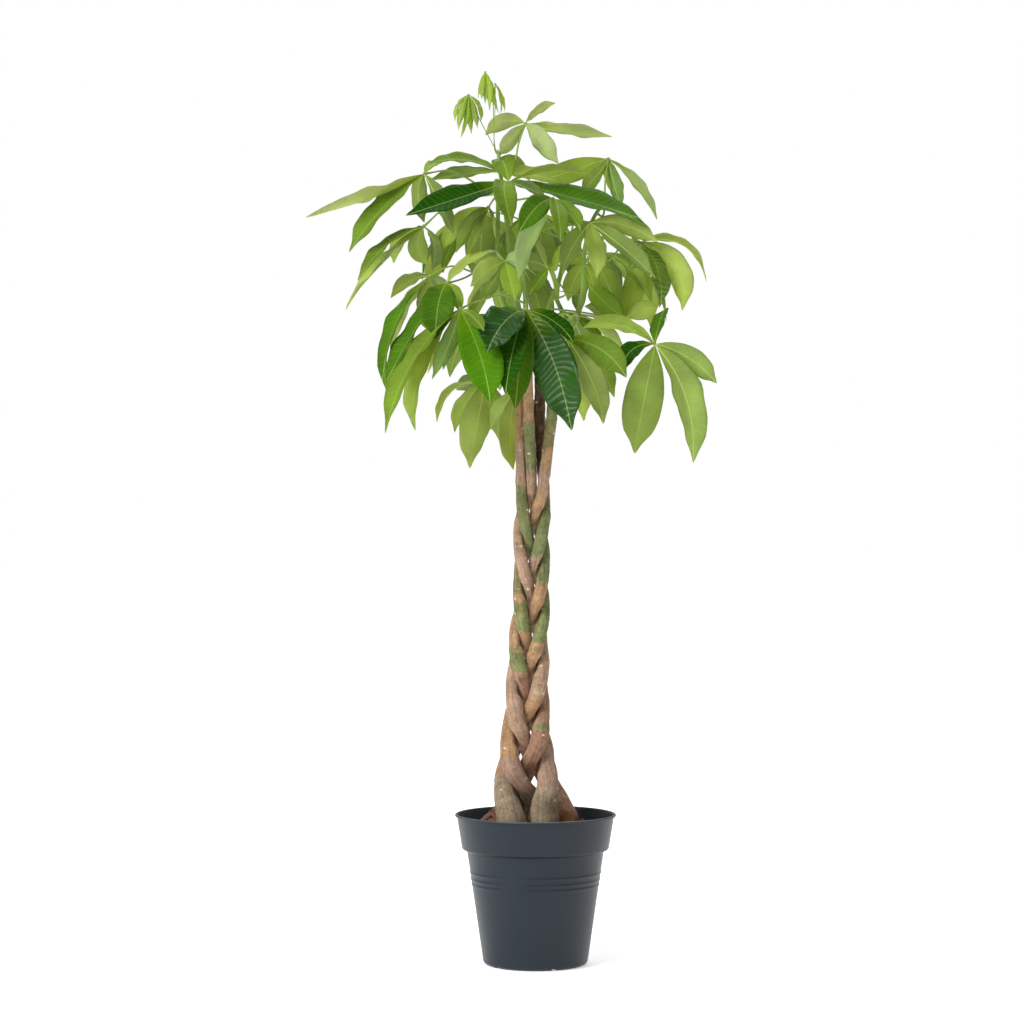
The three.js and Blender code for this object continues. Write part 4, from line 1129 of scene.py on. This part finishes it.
def make_stem(stem, colours):
    """One stem: a grid rolled up round its own weaving line, closed at both ends."""
    top = STEM_TOPS[stem][1][2]
    heights = np.append(np.arange(STEM_FOOT, top - 1, STEM_STEP), (top - STEM_END, top))
    angles = -2 * np.pi * np.arange(STEM_SIDES + 1) / STEM_SIDES
    radius = stem_radius(stem, heights, angles)
    radius[0] *= FOOT_SHARE
    radius[-1] *= TOP_SHARE
    piece, ring, side, pole = sheet_for_tube(f"stem_{stem + 1}_bark", len(heights), STEM_SIDES)
    reach = np.where(pole, 0.0, radius[ring, side])
    z = heights[ring]
    ways = np.column_stack([np.cos(angles[side]), np.sin(angles[side]), np.zeros(len(side))])
    points = np.column_stack([stem_middle(stem, heights)[ring], z]) + reach[:, None] * ways
    # Where a stem is pressed against another it is smooth and painted in shade, elsewhere it is lumpy.
    full = np.interp(z, TRUNK[0], TRUNK[3]) / 2
    free = np.clip(reach / full, 0, 1) ** 3
    lump = np.empty(len(points))
    wander = np.empty(len(points))
    for i, point in enumerate(points):
        place = Vector(point)
        lump[i] = BARK_LEVEL + sum(height * noise.noise(place / size) for height, size in BARK_LUMPS)
        wander[i] = sum(height * noise.noise(place / size) for height, size in BAND_WANDER)
    inner = (ring > 0) & (ring < len(heights) - 2)
    points += ways * np.where(inner, lump * free, 0.0)[:, None]
    put(piece, points * MM)
    # The place on the bark for patterns: along the stem, round it, and apart for each stem.
    girth = full * 2 * math.pi * side / STEM_SIDES
    paint(piece, "bark_place", np.column_stack([z, girth, np.full(len(z), 100.0 * stem)]) * MM)
    tints = bark_colours(stem, z + wander, colours)
    # The alpha holds how free the stem is; the bark's material paints shade in the creases where it is low.
    tints[:, 3] = free
    paint(piece, "bark_colour", tints)
    weld(piece)
    smooth(piece, degrees=50)
    return piece


# ---- Leaves ----


def eased_step(value, low, high):
    """From 0 to 1 as the value goes from low to high, without a corner."""
    share = np.clip((value - low) / (high - low), 0, 1)
    return share * share * (3 - 2 * share)


def blade_share(along):
    """How wide a blade is along its length, as a share of its full width. It ends in a fine tip."""
    share = along / WIDEST_AT * ((1 - along) / (1 - WIDEST_AT)) ** TIP_TAPER
    return share * (1 - TIP_NARROWING * eased_step(along, *TIP_SHARES))


def leaflet_arch(hub, row, start):
    """A leaflet's base, knee and tip, and the direction across its plane."""
    tip = np.array(row[:3], float)
    rise, sway = row[3], row[6]
    way = unit(tip - hub)
    outward = np.array((way[0], way[1], 0.0))
    if np.linalg.norm(outward) < STEEP:
        outward = np.array((hub[0], hub[1], 0.0))
    outward = unit(outward)
    bow = -way[2] * outward + np.dot(way, outward) * UP
    bow = unit(bow - way * np.dot(bow, way))
    across = np.cross(way, bow)
    knee = hub + KNEE_SHARE * (tip - hub) + 2 * rise * bow + 2 * sway * across
    base = hub + (knee - hub) * start / np.linalg.norm(knee - hub)
    return base, knee, tip, across


def leaflet_frames(arch, roll, along):
    """The rib's points, and there the directions to the side and up from the blade."""
    base, knee, tip, across = arch
    share = along[:, None]
    middle = (1 - share) ** 2 * base + 2 * share * (1 - share) * knee + share ** 2 * tip
    tangent = unit((1 - share) * (knee - base) + share * (tip - knee))
    upright = unit(np.cross(across, tangent))
    level = np.cross(tangent, upright)
    turn = math.radians(roll)
    side = level * math.cos(turn) + upright * math.sin(turn)
    normal = upright * math.cos(turn) - level * math.sin(turn)
    return middle, side, normal


def flat_leaflet(name, stations, columns):
    """A flat leaflet of unit length and width, pointed at both ends, to be copied."""
    piece, along, across = sheet(name, stations, columns)
    # Half of the rows are evenly spaced, and half crowd towards both ends.
    along = 0.5 * along + 0.25 * (1 - np.cos(np.pi * along))
    across = 2 * across - 1
    put(piece, np.column_stack([along, across * blade_share(along), np.zeros(len(along))]))
    paint(piece, "spot", np.column_stack([along, across, np.zeros(len(along))]))
    edit_all(piece)
    bpy.ops.mesh.remove_doubles(threshold=1e-5)
    bpy.ops.object.mode_set(mode="OBJECT")
    return piece


def edge_waves(along, across, size, phase):
    """How far a blade's edge flutters up and down, in a long wave and a short one."""
    hand = np.sign(across)
    turns, lag = LONG_WAVE
    waves = np.sin(2 * np.pi * ((turns + phase[1]) * along + phase[0]) + lag * hand)
    turns, lag, share = SHORT_WAVE
    waves += share * np.sin(2 * np.pi * (turns * along + phase[1]) + lag * hand)
    return waves * size * across ** 2 * np.sin(np.pi * along)


def make_leaflet(pattern, arch, row, tones, settings, draw):
    """A copy of the flat leaflet, arched, folded along its rib and waved at its edges."""
    width, roll, letter = row[4], row[5], row[7]
    corrugated, young = letter.islower(), letter == "N"
    copy = copy_of(pattern)
    along, across, _ = read(pattern.data.attributes["spot"].data, "vector").T
    length = np.linalg.norm(arch[2] - arch[0])
    middle, side, normal = leaflet_frames(arch, roll, along)
    half = width / 2 * blade_share(along) * (YOUNG_WIDTH if young else 1.0)
    phase = draw.random(4)
    lift = (YOUNG_FOLD if young else BLADE_FOLD) * half * np.abs(across) ** FOLD_POWER
    lift += edge_waves(along, across, (CORRUGATED_WAVE if corrugated else PLAIN_WAVE) * width, phase)
    # The tip curls a little, most often down.
    lift -= TIP_CURL * length * (phase[2] - CURL_LIFT) * np.maximum(0, along - CURL_FROM) ** 2
    stray, down, out = VEIN_STRAY
    rows = (length * along - VEIN_SLANT * np.abs(across) * half) * MM / settings.vein_spacing
    rows += stray * np.sin(2 * np.pi * (down * along + out * across + phase[3]))
    if corrugated:
        depth = CORRUGATION * np.minimum(1, TIP_FADES * (1 - along)) * np.minimum(1, BASE_FADES * along)
        lift += depth * (1 - across ** 4) * np.abs(np.sin(np.pi * rows))
    put(copy, (middle - side * (across * half)[:, None] + normal * lift[:, None]) * MM)
    relief = np.full(len(along), 0.0 if young else CORRUGATED if corrugated else PLAIN)
    paint(copy, "blade", np.column_stack([rows, half * MM * across, relief]))
    change = 1 + HUE_CHANGE * (phase[3] - 0.5) + LEVEL_CHANGE * (phase[0] - 0.5)
    # Young leaflets are paler towards their tips.
    fading = (YOUNG_FADING if young else 0.0) * along[:, None]
    own_tones = tones[TONE_OF[letter.upper()]]
    for name, own, pale in zip(("upper_colour", "under_colour"), own_tones, tones["pale"]):
        colour = own * change + fading * (pale - own)
        paint(copy, name, np.column_stack([colour, np.ones(len(along))]))
    return copy


def make_rib(arch, row):
    """The raised rib under a leaflet, from the hub nearly to the tip."""
    along = np.linspace(0, RIB_PROFILE[0][-1], RIB_SPOTS)
    middle, _, normal = leaflet_frames(arch, row[5], along)
    length = np.linalg.norm(arch[2] - arch[0])
    radii = np.interp(along, *RIB_PROFILE) * min(1.0, RIB_LEAST + length / RIB_FULL_LENGTH)
    return tube("rib", middle - normal * (RIB_DEPTH * radii)[:, None], radii, sides=6)


def shoot_parts(name, leaves, patterns, tones, settings, draw):
    """The leaflets of a shoot, their ribs, and its stem, bud, stalks and hubs."""
    route = smooth_route(SHOOTS[name], SHOOT_SPOTS)
    bud = np.linspace(-1, BUD_LENGTH, len(BUD_RADII))[:, None] * unit(route[-1] - route[-2])
    stalks = [
        tube("shoot", route, np.linspace(*SHOOT_RADII, len(route)), sides=14),
        tube("bud", route[-1] + bud, BUD_RADII, sides=10),
    ]
    leaflets, ribs = [], []
    for _, hub, stalk, rows in leaves:
        middle = np.array(hub, float)
        points = [middle, *np.array(stalk, float)]
        points.append(min(route, key=lambda spot: np.linalg.norm(spot - points[-1])))
        longest = max(np.linalg.norm(np.array(row[:3]) - middle) for row in rows)
        young = longest < YOUNG_LENGTH
        hub_radius = YOUNG_HUB_RADIUS if young else HUB_RADIUS
        line = smooth_route(points, STALK_SPOTS * len(points))
        radii = np.interp(np.linspace(0, 1, len(line)), *STALK_PROFILE)
        radii = radii * STALK_RADIUS * (YOUNG_STALK_SHARE if young else 1.0)
        stalks.append(tube("stalk", line, radii, sides=10))
        rise = np.linspace(*HUB_SPAN, HUB_SPOTS)[:, None] * hub_radius
        bulge = HUB_SHARE * hub_radius * np.sin(np.linspace(*HUB_BULGE, HUB_SPOTS))
        stalks.append(tube("hub", line[0] + unit(line[0] - line[2]) * rise, bulge, sides=12))
        for row in rows:
            arch = leaflet_arch(middle, row, BLADE_START * hub_radius)
            leaflets.append(make_leaflet(patterns[row[7].islower()], arch, row, tones, settings, draw))
            ribs.append(make_rib(arch, row))
    return leaflets, ribs, stalks


def make_shoot(name, leaves, patterns, tones, materials, settings, draw):
    """A leafy shoot as one piece: thin two-sided leaflets on round stalks."""
    upper, under, stalk = materials
    leaflets, ribs, stalks = shoot_parts(name, leaves, patterns, tones, settings, draw)
    blades = join(leaflets, "blades")
    blades.data.materials.append(upper)
    blades.data.materials.append(under)
    apply_modifier(
        blades, "SOLIDIFY", thickness=settings.thickness, offset=0.0,
        material_offset=1, material_offset_rim=0,
    )
    parts = [blades]
    for pieces, material in ((ribs, under), (stalks, stalk)):
        parts.append(join(pieces, "part"))
        parts[-1].data.materials.append(material)
        weld(parts[-1])
    shoot = join(parts, f"shoot_{name}_leaves")
    pick([shoot])
    bpy.ops.object.shade_smooth()
    return shoot


def back_leaves():
    """The far side's leaves, by the same rule and the same draws as their solids."""
    state = FIRST_SEED

    def draw():
        nonlocal state
        state = state * SEED_FACTOR % SEED_LIMIT
        return 2 * state / SEED_LIMIT - 1

    def polar(angle, reach, z):
        turn = math.radians(angle)
        return (reach * math.cos(turn), reach * math.sin(turn), z)

    leaves = []
    for i in range(BACK_COUNT):
        share = i / (BACK_COUNT - 1)
        facing = BACK_ANGLES[0] + share * (BACK_ANGLES[1] - BACK_ANGLES[0]) + BACK_ANGLE_DRAW * draw()
        tier = i % len(BACK_TIERS)
        height = BACK_TIERS[tier] + BACK_HEIGHT_DRAW * draw()
        hub = polar(facing, BACK_REACH[tier], height)
        rows = []
        for k in range(BACK_BLADES):
            place = k - (BACK_BLADES - 1) / 2
            length = BACK_LENGTH * (1 - BACK_LENGTH_LOSS * abs(place)) * (1 + BACK_LENGTH_DRAW * draw())
            droop = math.radians(BACK_DROOP + BACK_DROOP_DRAW * draw() + BACK_DROOP_GAIN * abs(place))
            dx, dy, _ = polar(facing + BACK_SPREAD * place, length * math.cos(droop), 0)
            tip = (hub[0] + dx, hub[1] + dy, hub[2] - length * math.sin(droop))
            tone = BACK_TONES[(i + k) % len(BACK_TONES)]
            rows.append((
                *tip, BACK_RISE_SHARE * length, BACK_WIDTH_SHARE * length, BACK_ROLL * place, 0, tone,
            ))
        knee = polar(facing, BACK_KNEE_SHARE * BACK_REACH[tier], height - BACK_KNEE_DROP)
        leaves.append(("back", hub, (knee,), rows))
    return leaves


# ---- Operators ----


class MONEYTREE_OT_stage(bpy.types.Operator):
    """Add the floor, the lights and the camera"""

    bl_idname = "money_tree.stage"
    bl_label = "Stage"

    def execute(self, context):
        settings = context.scene.money_tree_stage
        deselect()
        bpy.ops.mesh.primitive_plane_add(size=settings.floor_size)
        floor = context.object
        floor.name = "floor"
        floor.data.materials.append(backlit_acrylic(settings))
        world = bpy.data.worlds.new("soft_sky")
        world.use_nodes = True
        tree = world.node_tree
        tree.nodes.clear()
        # The backdrop is white to look at, and gives the plant a softer, dimmer light.
        backdrop = node(tree, "Background", {"Color": WHITE, "Strength": 1.0})
        sky = node(tree, "Background", {"Color": COOL_WHITE, "Strength": settings.sky_strength})
        seen = node(tree, "LightPath").outputs["Is Camera Ray"]
        both = node(tree, "MixShader", {0: seen, 1: sky, 2: backdrop})
        node(tree, "OutputWorld", {"Surface": both})
        context.scene.world = world
        context.scene.view_settings.view_transform = "Standard"
        for name, kind, place, strength in (
            ("key_light", "SUN", KEY_PLACE, settings.key_strength),
            ("top_light", "AREA", TOP_PLACE, settings.top_power),
        ):
            bpy.ops.object.light_add(type=kind, location=place)
            lamp = context.object
            lamp.name = name
            lamp.data.energy = strength
            if kind == "SUN":
                lamp.data.angle = settings.key_spread
            else:
                lamp.data.size = TOP_SIZE
            aim = Vector(LAMP_AIM) - Vector(place)
            lamp.rotation_euler = aim.to_track_quat("-Z", "Y").to_euler()
        bpy.ops.object.camera_add(location=CAMERA_PLACE, rotation=(math.pi / 2, 0, 0))
        camera = context.object
        camera.name = "photo_camera"
        camera.data.sensor_width = SENSOR_WIDTH
        camera.data.lens = CAMERA_LENS
        camera.data.clip_end = FARTHEST_SEEN
        context.scene.camera = camera
        return {"FINISHED"}


class MONEYTREE_OT_pot(bpy.types.Operator):
    """Add the nursery pot"""

    bl_idname = "money_tree.pot"
    bl_label = "Pot"

    def execute(self, context):
        plastic = moulded_polypropylene(context.scene.money_tree_pot)
        finish_piece(make_pot(), [plastic], ["pot"])
        return {"FINISHED"}


class MONEYTREE_OT_soil(bpy.types.Operator):
    """Add the soil and its crumbs"""

    bl_idname = "money_tree.soil"
    bl_label = "Soil"

    def execute(self, context):
        settings = context.scene.money_tree_soil
        peat = peat_compost(settings)
        finish_piece(make_soil(), [peat], ["soil"])
        crumbs = make_crumbs(settings.crumb_size, np.random.default_rng(CRUMB_SEED))
        finish_piece(crumbs, [peat], [])
        return {"FINISHED"}


class MONEYTREE_OT_stems(bpy.types.Operator):
    """Add the five braided stems"""

    bl_idname = "money_tree.stems"
    bl_label = "Stems"

    def execute(self, context):
        settings = context.scene.money_tree_trunk
        bark = young_bark(settings)
        names = {name for bands in BARK_BANDS for _, name in bands}
        colours = {name: tuple(getattr(settings, name)) for name in names}
        for stem in range(STEM_COUNT):
            finish_piece(make_stem(stem, colours), [bark], [f"stem_{stem + 1}"])
        return {"FINISHED"}


class MONEYTREE_OT_shoots(bpy.types.Operator):
    """Add the leafy shoots"""

    bl_idname = "money_tree.shoots"
    bl_label = "Leafy shoots"

    def execute(self, context):
        settings = context.scene.money_tree_leaf
        # The upper side is waxy, dark and glossy; the underside is paler and duller.
        materials = [
            living_leaf(
                "waxy_leaf_upper_side", "upper_colour", settings,
                rib_share=0.5, vein_share=0.1, gloss=0.36, glow=0.34,
            ),
            living_leaf(
                "leaf_underside", "under_colour", settings,
                rib_share=0.7, vein_share=0.18, gloss=0.55, glow=0.5,
            ),
            green_stalk(settings),
        ]
        paler = np.array(settings.under_colour)
        tones = {}
        for tone in TONE_OF.values():
            upper = np.array(getattr(settings, tone))
            tones[tone] = (upper, upper + settings.under_share * (paler - upper))
        # Faded leaflets are paler underneath, partly with painted backlight, and silvery ones carry a
        # painted sheen underneath; both are pale on top.
        for tone in ("faded_with_painted_backlight", "painted_silver_sheen"):
            tones[tone] = (tones["pale"][0], tones[tone][1])
        patterns = {
            False: flat_leaflet("plain_leaflet", settings.stations, PLAIN_COLUMNS),
            True: flat_leaflet(
                "corrugated_leaflet", CORRUGATED_FINENESS * settings.stations, CORRUGATED_COLUMNS,
            ),
        }
        draw = np.random.default_rng(LEAF_SEED)
        every_leaf = [*LEAVES, *back_leaves()]
        for name in SHOOTS:
            own = [leaf for leaf in every_leaf if leaf[0] == name]
            shoot = make_shoot(name, own, patterns, tones, materials, settings, draw)
            finish_piece(shoot, [], [f"leafy_shoot_{name}"])
        for pattern in patterns.values():
            bpy.data.objects.remove(pattern)
        return {"FINISHED"}


class MONEYTREE_PT_panel(bpy.types.Panel):
    """The money tree's pieces, in the order in which they are made"""

    bl_idname = "MONEYTREE_PT_panel"
    bl_label = "Money tree"
    bl_space_type = "VIEW_3D"
    bl_region_type = "UI"
    bl_category = "Money tree"

    def draw(self, context):
        for operator in OPERATORS:
            self.layout.operator(operator.bl_idname)


GROUPS = {
    "money_tree_stage": StageSettings,
    "money_tree_pot": PotSettings,
    "money_tree_soil": SoilSettings,
    "money_tree_trunk": TrunkSettings,
    "money_tree_leaf": LeafSettings,
}
OPERATORS = (
    MONEYTREE_OT_stage, MONEYTREE_OT_pot, MONEYTREE_OT_soil, MONEYTREE_OT_stems, MONEYTREE_OT_shoots,
)


def register():
    """Registers the classes and their settings."""
    for kind in (*GROUPS.values(), *OPERATORS, MONEYTREE_PT_panel):
        bpy.utils.register_class(kind)
    for name, kind in GROUPS.items():
        setattr(bpy.types.Scene, name, PointerProperty(type=kind))


def unregister():
    """Removes the settings and the classes."""
    for name in GROUPS:
        delattr(bpy.types.Scene, name)
    for kind in (MONEYTREE_PT_panel, *OPERATORS, *GROUPS.values()):
        bpy.utils.unregister_class(kind)


def main():
    """Makes every piece in order."""
    register()
    bpy.ops.money_tree.stage()
    bpy.ops.money_tree.pot()
    bpy.ops.money_tree.soil()
    bpy.ops.money_tree.stems()
    bpy.ops.money_tree.shoots()


if __name__ == "__main__":
    main()
